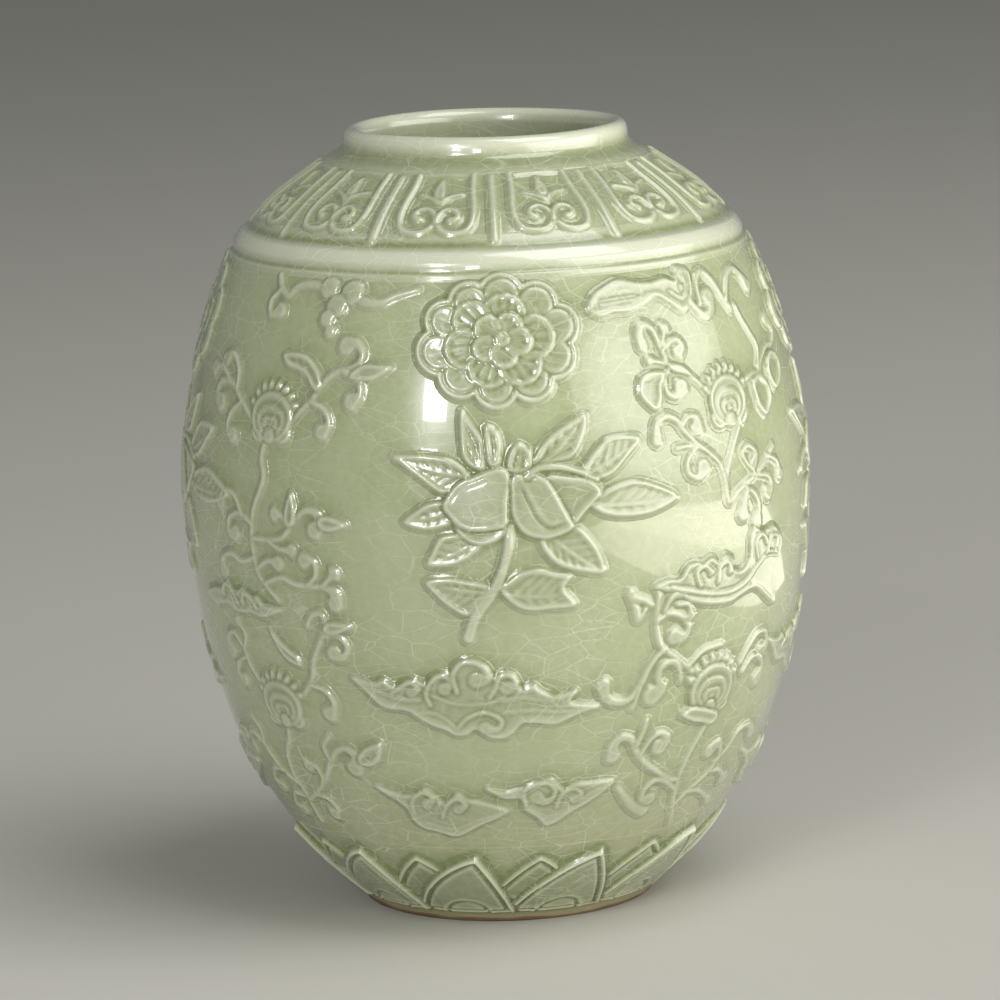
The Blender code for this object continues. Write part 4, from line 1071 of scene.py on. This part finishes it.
right_high = Sprig(-45.0, 42.0, 96.0, 190.0, skin=0.045)
lay_runs(right_high, [
    ([(7.6, 156.6), (6.2, 153.3), (3.6, 149.8), (0.6, 144.8), (-2.0, 139.0), (-1.7, 131.9), (3.1, 134.5),
      (6.6, 136.0), (12.1, 138.0), (18.3, 141.2), (23.8, 144.6)], 2.0, 1.9, 0.0),
    ([(-1.9, 133.0), (-3.1, 140.9), (-5.5, 145.0), (-10.8, 149.0), (-16.0, 150.4), (-20.4, 150.2)],
     2.0, 1.7, 0.0),
    ([(-8.6, 147.8), (-12.4, 150.5), (-16.8, 155.0), (-19.1, 158.4), (-22.7, 159.9), (-26.1, 158.0),
      (-26.8, 153.4)], 2.0, 2.5, 3.0),
    ([(-17.6, 156.6), (-14.8, 158.8), (-11.6, 158.2), (-12.0, 155.6)], 2.0, 2.4, 4.4),
    ([(-13.0, 149.8), (-17.0, 146.2), (-16.8, 142.4), (-13.2, 140.9), (-11.2, 143.6)], 1.8, 2.3, 4.2),
    ([(6.6, 135.2), (10.6, 132.4), (12.7, 128.6), (11.6, 124.0)], 2.0, 2.6, 4.2),
    ([(7.4, 134.4), (5.6, 130.6), (5.0, 127.6)], 2.2, 3.0, 4.4),
    ([(13.6, 137.6), (18.4, 136.6), (20.5, 133.4), (18.2, 131.6)], 1.8, 2.4, 4.0),
    ([(11.6, 138.6), (8.0, 142.0), (6.1, 145.3), (9.1, 147.1), (12.8, 144.4), (11.3, 141.6)],
     1.7, 2.0, 3.0),
    ([(19.6, 142.4), (24.8, 140.0), (26.4, 136.0)], 1.8, 2.0, 3.4),
    ([(-6.2, 166.0), (-11.0, 170.4), (-14.6, 173.2), (-18.3, 175.5), (-19.5, 180.2), (-20.9, 185.0),
      (-23.6, 186.6), (-25.6, 184.0), (-25.4, 180.6)], 1.4, 2.6, 3.0),
    ([(-19.2, 178.6), (-15.8, 181.0), (-12.9, 181.2), (-11.6, 179.2), (-13.4, 178.0)], 2.0, 2.2, 3.8),
    ([(-18.6, 180.6), (-16.6, 184.6)], 2.2, 2.2, 3.2),
    ([(-17.6, 174.6), (-24.2, 176.3)], 2.0, 1.5, 2.6),
    ([(-17.6, 174.2), (-20.4, 170.8), (-20.7, 166.8), (-17.8, 165.3), (-15.4, 167.8)], 1.8, 2.6, 4.2),
    ([(12.0, 166.0), (17.6, 167.2), (21.2, 167.4), (24.7, 170.4), (30.1, 173.4), (35.7, 173.8),
      (38.9, 177.4), (35.4, 180.9)], 1.8, 1.6, 3.2),
    ([(21.6, 168.6), (24.2, 174.2), (21.8, 178.7), (19.0, 183.2), (17.2, 187.4)], 1.6, 1.2, 0.0),
])
right_high.leaf([(-18.6, 174.9), (-13.6, 173.8), (-10.2, 170.3), (-14.2, 171.2), (-18.0, 172.8)],
                (-18.3, 173.9), (-10.2, 170.3), veins=3)
right_high.petal([(-19.9, 172.4), (-25.0, 173.2), (-29.0, 171.4), (-30.4, 167.4), (-28.2, 163.6),
                  (-25.4, 161.8), (-22.9, 164.8), (-22.0, 168.9)], rise=1.2, rim=0.5, dish=0.6)
right_high.petal([(16.0, 165.0), (20.7, 166.6), (25.4, 163.4), (26.4, 158.4), (21.6, 154.2),
                  (17.6, 157.0), (16.2, 161.0)], rise=1.2, rim=0.5, dish=0.6)
right_high.petal([(30.6, 171.6), (27.0, 168.0), (27.6, 163.8), (31.0, 160.6), (35.8, 163.0),
                  (37.6, 168.0), (34.6, 171.4)], rise=1.2, rim=0.5, dish=0.6)
right_high.petal([(-30.4, 110.0), (-25.4, 112.0), (-21.4, 111.8), (-18.6, 115.2), (-14.8, 115.8),
                  (-12.6, 115.2), (-9.1, 116.4), (-5.9, 114.6), (-3.8, 116.3), (-0.2, 114.8),
                  (0.4, 111.4), (4.6, 110.6), (7.6, 113.6), (7.8, 119.4), (10.4, 122.4), (15.0, 120.6),
                  (21.4, 121.0), (26.6, 116.2), (25.4, 110.8), (23.4, 104.0), (24.2, 96.6), (19.0, 98.6),
                  (11.4, 103.4), (4.4, 102.6), (-0.7, 101.2), (-8.7, 101.8), (-17.1, 104.0),
                  (-22.3, 107.2)], rise=1.2, rim=0.26, dish=0.18)
right_high.stem([(-24.0, 109.2), (-17.1, 107.2), (-8.7, 105.2), (-0.7, 104.6), (6.4, 106.4),
                 (12.0, 110.4), (18.0, 113.4), (23.6, 112.6)], 1.5, 1.5, rise=1.7)
for curl in ([(-13.6, 108.4), (-15.2, 112.4), (-12.0, 114.2), (-9.6, 112.0)],
             [(-6.6, 108.4), (-5.8, 112.8), (-2.4, 114.0), (-1.4, 111.2)],
             [(12.0, 112.6), (10.8, 117.6), (14.0, 119.6), (16.8, 117.0)],
             [(17.4, 113.6), (19.0, 118.0), (23.0, 117.6), (23.0, 114.8)]):
    right_high.stem(curl, 1.8, 1.8, rise=1.7, head=3.2)
lay_side_flower(right_high, (2.6, 161.6), 7.9, 1.06)
right_high.set_up()

right_low = Sprig(-48.0, 34.0, 26.0, 111.0, skin=0.085)
lay_runs(right_low, [
    ([(-37.8, 109.2), (-36.1, 105.2), (-34.9, 100.8), (-32.6, 103.8)], 3.4, 1.8, 0.0),
    ([(-36.8, 107.6), (-33.2, 106.4), (-30.4, 104.6)], 3.2, 1.8, 0.0),
    ([(-28.4, 107.8), (-28.5, 99.0), (-27.2, 93.4), (-25.0, 90.4), (-19.8, 86.8), (-15.1, 83.2),
      (-12.0, 80.6)], 2.2, 2.0, 0.0),
    ([(-28.4, 99.4), (-24.4, 101.4), (-19.2, 99.6), (-16.8, 96.4), (-18.2, 93.4), (-21.6, 93.8)],
     2.2, 2.5, 4.0),
    ([(-26.0, 102.2), (-24.0, 106.0), (-20.8, 107.4)], 2.0, 2.6, 3.2),
    ([(-21.4, 103.6), (-17.4, 103.2), (-16.4, 99.8)], 1.6, 1.8, 2.8),
    ([(-24.4, 90.4), (-27.1, 88.7), (-29.6, 85.2), (-31.7, 80.3), (-34.0, 76.9), (-38.0, 75.7),
      (-42.4, 77.6), (-44.0, 81.6)], 2.6, 2.6, 3.4),
    ([(-31.9, 79.6), (-32.4, 76.0), (-33.4, 73.2)], 2.0, 1.4, 0.0),
    ([(-17.4, 79.6), (-18.6, 83.8), (-21.8, 86.2), (-25.4, 84.8), (-25.6, 81.0), (-24.0, 78.6),
      (-27.0, 76.6)], 2.0, 3.0, 5.0),
    ([(-15.1, 83.4), (-11.8, 86.4), (-8.4, 88.0), (-2.0, 88.4)], 1.7, 1.5, 0.0),
    ([(7.6, 80.6), (11.2, 85.4), (15.0, 88.6), (19.8, 88.6), (21.6, 84.6), (19.0, 82.4)], 1.9, 2.2, 4.0),
    ([(9.6, 77.6), (12.6, 80.8), (16.0, 81.6), (20.8, 78.2), (19.0, 73.6)], 2.0, 2.4, 3.8),
    ([(-2.8, 65.2), (-5.6, 60.1), (-7.6, 55.5), (-8.9, 50.7), (-9.1, 46.2), (-8.1, 41.4), (-6.0, 36.4),
      (-3.4, 30.6)], 2.1, 2.0, 0.0),
    ([(-9.0, 46.8), (-12.7, 47.4), (-19.3, 51.3), (-24.3, 54.6), (-28.4, 58.7), (-31.2, 63.0),
      (-34.8, 64.2), (-36.9, 61.8), (-36.2, 58.2)], 1.8, 2.6, 3.4),
    ([(-29.0, 61.4), (-28.0, 65.0), (-27.3, 68.7)], 2.6, 1.6, 0.0),
    ([(-26.8, 57.4), (-24.8, 62.0), (-21.6, 63.8), (-18.6, 61.8), (-20.6, 59.6)], 1.8, 2.4, 4.6),
    ([(-9.2, 43.4), (-13.3, 46.4), (-18.0, 48.2), (-21.4, 45.6), (-21.0, 42.4), (-18.2, 41.8)],
     1.8, 2.4, 3.6),
    ([(-18.4, 37.8), (-22.6, 40.0), (-28.0, 44.4), (-31.0, 47.6)], 4.6, 1.8, 0.0),
    ([(-7.2, 37.0), (-2.2, 42.0), (2.9, 45.4), (5.9, 48.2), (7.4, 52.0), (4.8, 55.8), (1.6, 54.0)],
     1.7, 2.4, 3.8),
    ([(5.8, 49.4), (10.8, 53.0), (14.4, 57.6), (20.2, 58.6), (24.2, 55.6)], 1.8, 2.2, 3.8),
    ([(-2.0, 41.4), (2.8, 40.6), (7.6, 38.0), (11.3, 35.6)], 2.4, 1.6, 3.0),
    ([(5.2, 46.4), (10.6, 45.6), (15.0, 42.2)], 1.7, 2.0, 4.0),
])
lay_side_flower(right_low, (-4.2, 75.2), 8.0, 1.12)
right_low.petal([(-15.4, 68.6), (-11.6, 70.6), (-4.4, 68.8), (0.6, 66.4), (-1.6, 63.4), (-6.0, 64.6),
                 (-11.0, 66.0)], rise=1.5, rim=0.35, dish=0.3)
right_low.set_up()

right_scroll = Sprig(-44.0, 34.0, 183.0, 207.0, skin=0.075)
right_scroll.petal([(-39.6, 192.4), (-36.6, 189.8), (-31.8, 190.6), (-26.3, 190.6), (-20.6, 192.2),
                    (-16.0, 193.8), (-12.2, 191.6), (-8.0, 188.6), (-4.0, 190.0), (-1.4, 193.4),
                    (-0.2, 199.4), (-4.6, 201.4), (-7.0, 197.8), (-11.1, 198.8), (-16.4, 198.2),
                    (-21.2, 198.6), (-27.1, 199.8), (-32.0, 198.4), (-36.4, 196.2)], rise=1.2, rim=0.26,
                   dish=0.2)
lay_runs(right_scroll, [
    ([(-5.0, 195.6), (-3.0, 190.4), (0.6, 186.8), (4.4, 188.0), (4.6, 191.4)], 3.2, 2.8, 4.4),
    ([(0.6, 190.0), (1.6, 196.4), (5.4, 198.6), (8.9, 195.6), (11.2, 191.2), (14.2, 187.0)],
     2.6, 2.8, 0.0),
    ([(13.0, 189.6), (17.6, 196.0), (22.1, 197.4), (26.1, 195.0), (28.8, 191.8)], 2.6, 2.2, 3.6),
    ([(-34.6, 194.4), (-28.4, 194.8), (-22.4, 195.0)], 1.5, 1.2, 0.0),
    ([(-10.4, 195.2), (-6.2, 192.6), (-3.4, 195.8), (-4.0, 199.2)], 1.8, 1.8, 3.2),
])
right_scroll.set_up()

LEFT_VINE_SHIFT = 0.0436
for index in range(PANELS):
    turn = 2.0 * math.pi * (index + 0.5) / PANELS
    high, low, scroll = right_high, right_low, right_scroll
    if index % 2:
        high, low, scroll = left_high, left_low, left_scroll
        turn -= LEFT_VINE_SHIFT
    high.press_on(f"vine_climbing_{index + 1}", f"vine_upper_{index + 1}", turn)
    low.press_on(f"vine_rooted_{index + 1}", f"vine_lower_{index + 1}", turn)
    scroll.press_on(f"cloud_scroll_{index + 1}", f"hanging_scroll_{index + 1}", turn)


# ---- lotus petal band ----
# Eleven pointed lotus petals stand round the foot, each over its right-hand neighbour, with
# a narrow back petal showing between them. The band is one thin coil pressed in a mould.

PETALS = 11
BAND_LOW, BAND_HIGH, BAND_ROWS = 3.4, 29.6, 78
BAND_RADIUS = 58.0
COLUMNS_PER_PETAL = 84
FRONT_TOP, BACK_TOP, PETAL_FOOT = 26.8, 26.2, 2.6
PITCH = 2.0 * math.pi / PETALS
FIRST_PEAK = math.radians(-9.6)

band_turns = full_circle(PETALS * COLUMNS_PER_PETAL)
band_ends = np.interp([BAND_LOW, BAND_HIGH], levels, along_wall)
band_levels = np.interp(np.linspace(*band_ends, BAND_ROWS), along_wall, levels)
band_climb = np.interp(band_levels, levels, along_wall)
turn_grid, climb_grid = np.meshgrid(band_turns, band_climb, indexing="ij")
radius_grid = np.interp(np.broadcast_to(band_levels, turn_grid.shape), levels, radii)
offset = (turn_grid - FIRST_PEAK + 0.5 * PITCH) % PITCH - 0.5 * PITCH


def petal_line(top, left, right):
    """Outline of a band petal; each edge spreads by so many degrees times a power of the drop."""
    heights = np.linspace(PETAL_FOOT, top, 26)
    width = np.interp(heights, levels, radii) * math.pi / 180.0
    line = [(-left[0] * (top - z) ** left[1] * w, z) for z, w in zip(heights, width)]
    line += [(right[0] * (top - z) ** right[1] * w, z) for z, w in zip(heights[-2::-1], width[-2::-1])]
    return climb(line)


front_line = petal_line(FRONT_TOP, left=(3.05, 0.70), right=(0.46, 1.0))
back_line = petal_line(BACK_TOP, left=(1.45, 0.86), right=(1.45, 0.86))
band_clay = np.zeros(turn_grid.shape)
band_depth = np.full(turn_grid.shape, -9.0)
for line, shift, rise, rim, groove in ((back_line, 0.5, 1.0, 0.45, 0.5),
                                       (back_line, -0.5, 1.0, 0.45, 0.5),
                                       (front_line, -1.0, 1.55, 0.55, 0.75),
                                       (front_line, 0.0, 1.75, 0.60, 0.75)):
    across = (offset + shift * PITCH) * radius_grid
    near = np.abs(across) < 34.0
    depth = np.full(across.shape, -9.0)
    depth[near] = outline_depth(across[near], climb_grid[near], line)
    height = rise + rim * ridge(depth - 0.9, 0.62) - 1.25 * ridge(depth - 2.2, 0.58)
    height += 0.22 * ridge(depth - 3.2, 0.6) - 0.12 * soft_step(depth, 3.4, 7.0)
    arch = np.hypot((across + 6.0) / 7.4, (climb_grid - climb([(0.0, 2.0)])[0, 1]) / 9.2)
    height += 0.35 * ridge((arch - 1.0) * 8.0, 0.6) - 0.85 * ridge((arch - 0.84) * 8.0, 0.5)
    bed = band_clay * (1.0 - groove * ridge(np.maximum(-depth, 0.0), 0.6))
    band_clay = bed + (height - bed) * soft_step(depth, -0.35, 0.6)
    band_depth = np.maximum(band_depth, depth)

spacing = 2.0 * math.pi * BAND_RADIUS / len(band_turns)
band_soft = softened(band_clay, 0.26, spacing, wrap=True)
band_broad = softened(band_soft, 1.0, spacing, wrap=True)
foot_fade = soft_step(band_levels, BAND_LOW, 5.6)
band_lift = (0.06 + (band_soft + 0.08 * ridge(band_depth + 0.2, 0.9)) * (0.25 + 0.75 * foot_fade)
             * (1.0 - soft_step(band_levels, 27.8, 29.2)))
band_lift[:, -1] = -0.02
band_rows = [on_wall(band_turns, level, lift) for level, lift in zip(band_levels, band_lift.T)]
band_rows += [on_wall(band_turns, level, -BED) for level in band_levels[::-7]]
petal_band = make_ring("lotus_petal_band", band_rows)
settle(petal_band, ["petal_band"], wall_glaze)
band_pool = 5.0 * np.clip(band_broad - band_soft - 0.02, 0, 0.2)
band_thin = np.clip(0.16 * band_soft + 1.0 * (band_soft - band_broad), 0, 1)
rear = np.zeros((len(band_turns), len(band_rows) - BAND_ROWS))
paint(petal_band, "pool", np.concatenate([band_pool, rear], 1))
paint(petal_band, "thin", np.concatenate([band_thin, rear], 1))
glazed.append(petal_band)
add_to_relief_map(band_turns[:, None], band_levels[None, :], band_soft)


# ---- the dip of glaze ----
# Glaze slides down the wall as it melts. It gathers above every raised edge and lies a
# little deeper in the crowded ground between the sprigs than on the open belly.

SHOULDER_POOL = 0.06

spread_out = softened(relief_map, 2.0, CELL_HEIGHT, wrap=True)
crowded = softened(relief_map, 5.0, CELL_HEIGHT, wrap=True)
above_edges = np.roll(spread_out, 4, axis=1)
above_edges[:, :4] = 0.0
gathered = np.clip(0.62 * above_edges + 0.30 * crowded, 0.0, 1.0)


def glaze_over(piece):
    """Adds the gathered glaze to what already lies in the piece's own grooves."""
    count = len(piece.data.vertices)
    points = np.empty(count * 3, np.float32)
    piece.data.vertices.foreach_get("co", points)
    x, y, height = points.reshape(-1, 3).T / MM
    column = (np.arctan2(x, -y) / (2.0 * math.pi) % 1.0) * TURN_CELLS - 0.5
    row = np.clip(height / CELL_HEIGHT - 0.5, 0.0, LEVEL_CELLS - 1.001)
    left, low = np.floor(column).astype(int), np.floor(row).astype(int)
    part_x, part_z = column - left, row - low
    total = 0.0
    for step_x, share_x in ((0, 1.0 - part_x), (1, part_x)):
        for step_z, share_z in ((0, 1.0 - part_z), (1, part_z)):
            total = total + share_x * share_z * gathered[(left + step_x) % TURN_CELLS, low + step_z]
    outside = np.hypot(x, y) > np.interp(height, levels, radii) - 1.0
    own = np.zeros(count, np.float32)
    layer = piece.data.attributes.get("pool")
    if layer:
        layer.data.foreach_get("value", own)
    on_shoulder = soft_step(height, 209.0, 213.0) * (1.0 - soft_step(height, 229.0, 232.0))
    paint(piece, "pool", own + (total + SHOULDER_POOL * on_shoulder) * outside)
    if not piece.data.attributes.get("thin"):
        paint(piece, "thin", np.zeros(count))


for piece in glazed:
    glaze_over(piece)


# ---- floor, light and camera ----
# A plain pale floor in plain soft studio light. Wide panels stand to the right, two low ones
# light the wall from below, one hangs above, and a window of four panes stands front left.

FLOOR_HALF = 4
FLOOR_DARK, FLOOR_PALE = (0.58, 0.56, 0.51, 1.0), (0.63, 0.61, 0.56, 1.0)
ROOM_COLOUR, ROOM_STRENGTH = (0.86, 0.90, 0.86, 1.0), 0.19
VASE_MIDDLE = (0.0, 0.0, 0.13)
WARM, CREAM, COOL, WHITE = (1.0, 0.98, 0.94), (1.0, 0.95, 0.84), (0.93, 0.97, 1.0), (1.0, 1.0, 1.0)
PANE_POWER = 62.0
CAMERA_AIM = Vector((0.0, 0.0, 0.1294))
CAMERA_AWAY = 1.58
CAMERA_TURN, CAMERA_LIFT, CAMERA_ROLL = math.radians(-1.5), math.radians(10.1), math.radians(-1.9)

floor_mesh = bpy.data.meshes.new("floor")
floor_mesh.from_pydata([(-FLOOR_HALF, -FLOOR_HALF, 0), (FLOOR_HALF, -FLOOR_HALF, 0),
                        (FLOOR_HALF, FLOOR_HALF, 0), (-FLOOR_HALF, FLOOR_HALF, 0)], [], [(0, 1, 2, 3)])
floor = bpy.data.objects.new("floor", floor_mesh)
bpy.context.scene.collection.objects.link(floor)
pale, tree, shader = new_finish("pale_floor")
patches = node(tree, "ShaderNodeTexNoise", {"Scale": 6.0, "Detail": 3.0}).outputs["Fac"]
stone = mix_colours(tree, patches, FLOOR_DARK, FLOOR_PALE)
wire(tree, shader, {"Base Color": stone, "Roughness": 0.7})
floor_mesh.materials.append(pale)

world = bpy.data.worlds.new("soft_room")
world.use_nodes = True
background = world.node_tree.nodes["Background"]
wire(world.node_tree, background, {"Color": ROOM_COLOUR, "Strength": ROOM_STRENGTH})
bpy.context.scene.world = world


def soft_light(name, place, aim, width, height, power, colour):
    """A flat lamp of the given width and height, turned towards a point."""
    lamp = bpy.data.lights.new(name, "AREA")
    lamp.shape = "RECTANGLE"
    lamp.size, lamp.size_y = width, height
    lamp.energy = power
    lamp.color = colour
    item = bpy.data.objects.new(name, lamp)
    item.location = place
    item.rotation_euler = (Vector(aim) - Vector(place)).to_track_quat("-Z", "Y").to_euler()
    bpy.context.scene.collection.objects.link(item)


for step, (reach, width, height, power) in enumerate(((2.30, 3.2, 1.7, 28.0), (2.22, 2.5, 1.25, 11.0),
                                                      (2.14, 1.7, 0.85, 3.0))):
    soft_light(f"panel_right_{step + 1}", (0.90 * reach, -0.42 * reach, 0.62), VASE_MIDDLE, width, height,
               power, WARM)
for step, (reach, width, power) in enumerate(((0.60, 0.60, 4.0), (0.64, 0.38, 1.3))):
    soft_light(f"bounce_right_{step + 1}", (reach, -0.26, 0.012 + 0.004 * step), (reach, -0.26, 1.0),
               width, 0.9, power, CREAM)
soft_light("panel_above", (0.9, -0.7, 2.3), VASE_MIDDLE, 1.6, 1.6, 26.0, WHITE)
for step, (width, power) in enumerate(((1.05, 2.2), (0.76, 1.6), (0.48, 1.2))):
    soft_light(f"window_glow_{step + 1}", (-0.82, -2.05 + 0.03 * step, 0.85), VASE_MIDDLE,
               width, 1.35 * width, power, COOL)
for step, (side, rise, width, height) in enumerate(((-0.98, 1.34, 0.25, 0.26), (-0.80, 0.80, 0.31, 0.38),
                                                   (-0.86, 0.30, 0.22, 0.16), (-0.28, 0.22, 0.20, 0.12))):
    soft_light(f"window_pane_{step + 1}", (side, -1.85, rise), VASE_MIDDLE, width, height,
               PANE_POWER * width * height, WHITE)

camera_data = bpy.data.cameras.new("camera")
camera_data.lens = 184.0
camera_data.sensor_width = 36.0
camera_data.shift_x = 0.0038
camera_data.shift_y = -0.0222
camera = bpy.data.objects.new("camera", camera_data)
away = Vector((math.sin(CAMERA_TURN) * math.cos(CAMERA_LIFT), -math.cos(CAMERA_TURN) * math.cos(CAMERA_LIFT),
               math.sin(CAMERA_LIFT)))
roll = Quaternion((0.0, 0.0, 1.0), CAMERA_ROLL)
camera.location = CAMERA_AIM + away * CAMERA_AWAY
camera.rotation_euler = (away.to_track_quat("Z", "Y") @ roll).to_euler()
bpy.context.scene.collection.objects.link(camera)
bpy.context.scene.camera = camera
bpy.context.scene.view_settings.view_transform = "Standard"
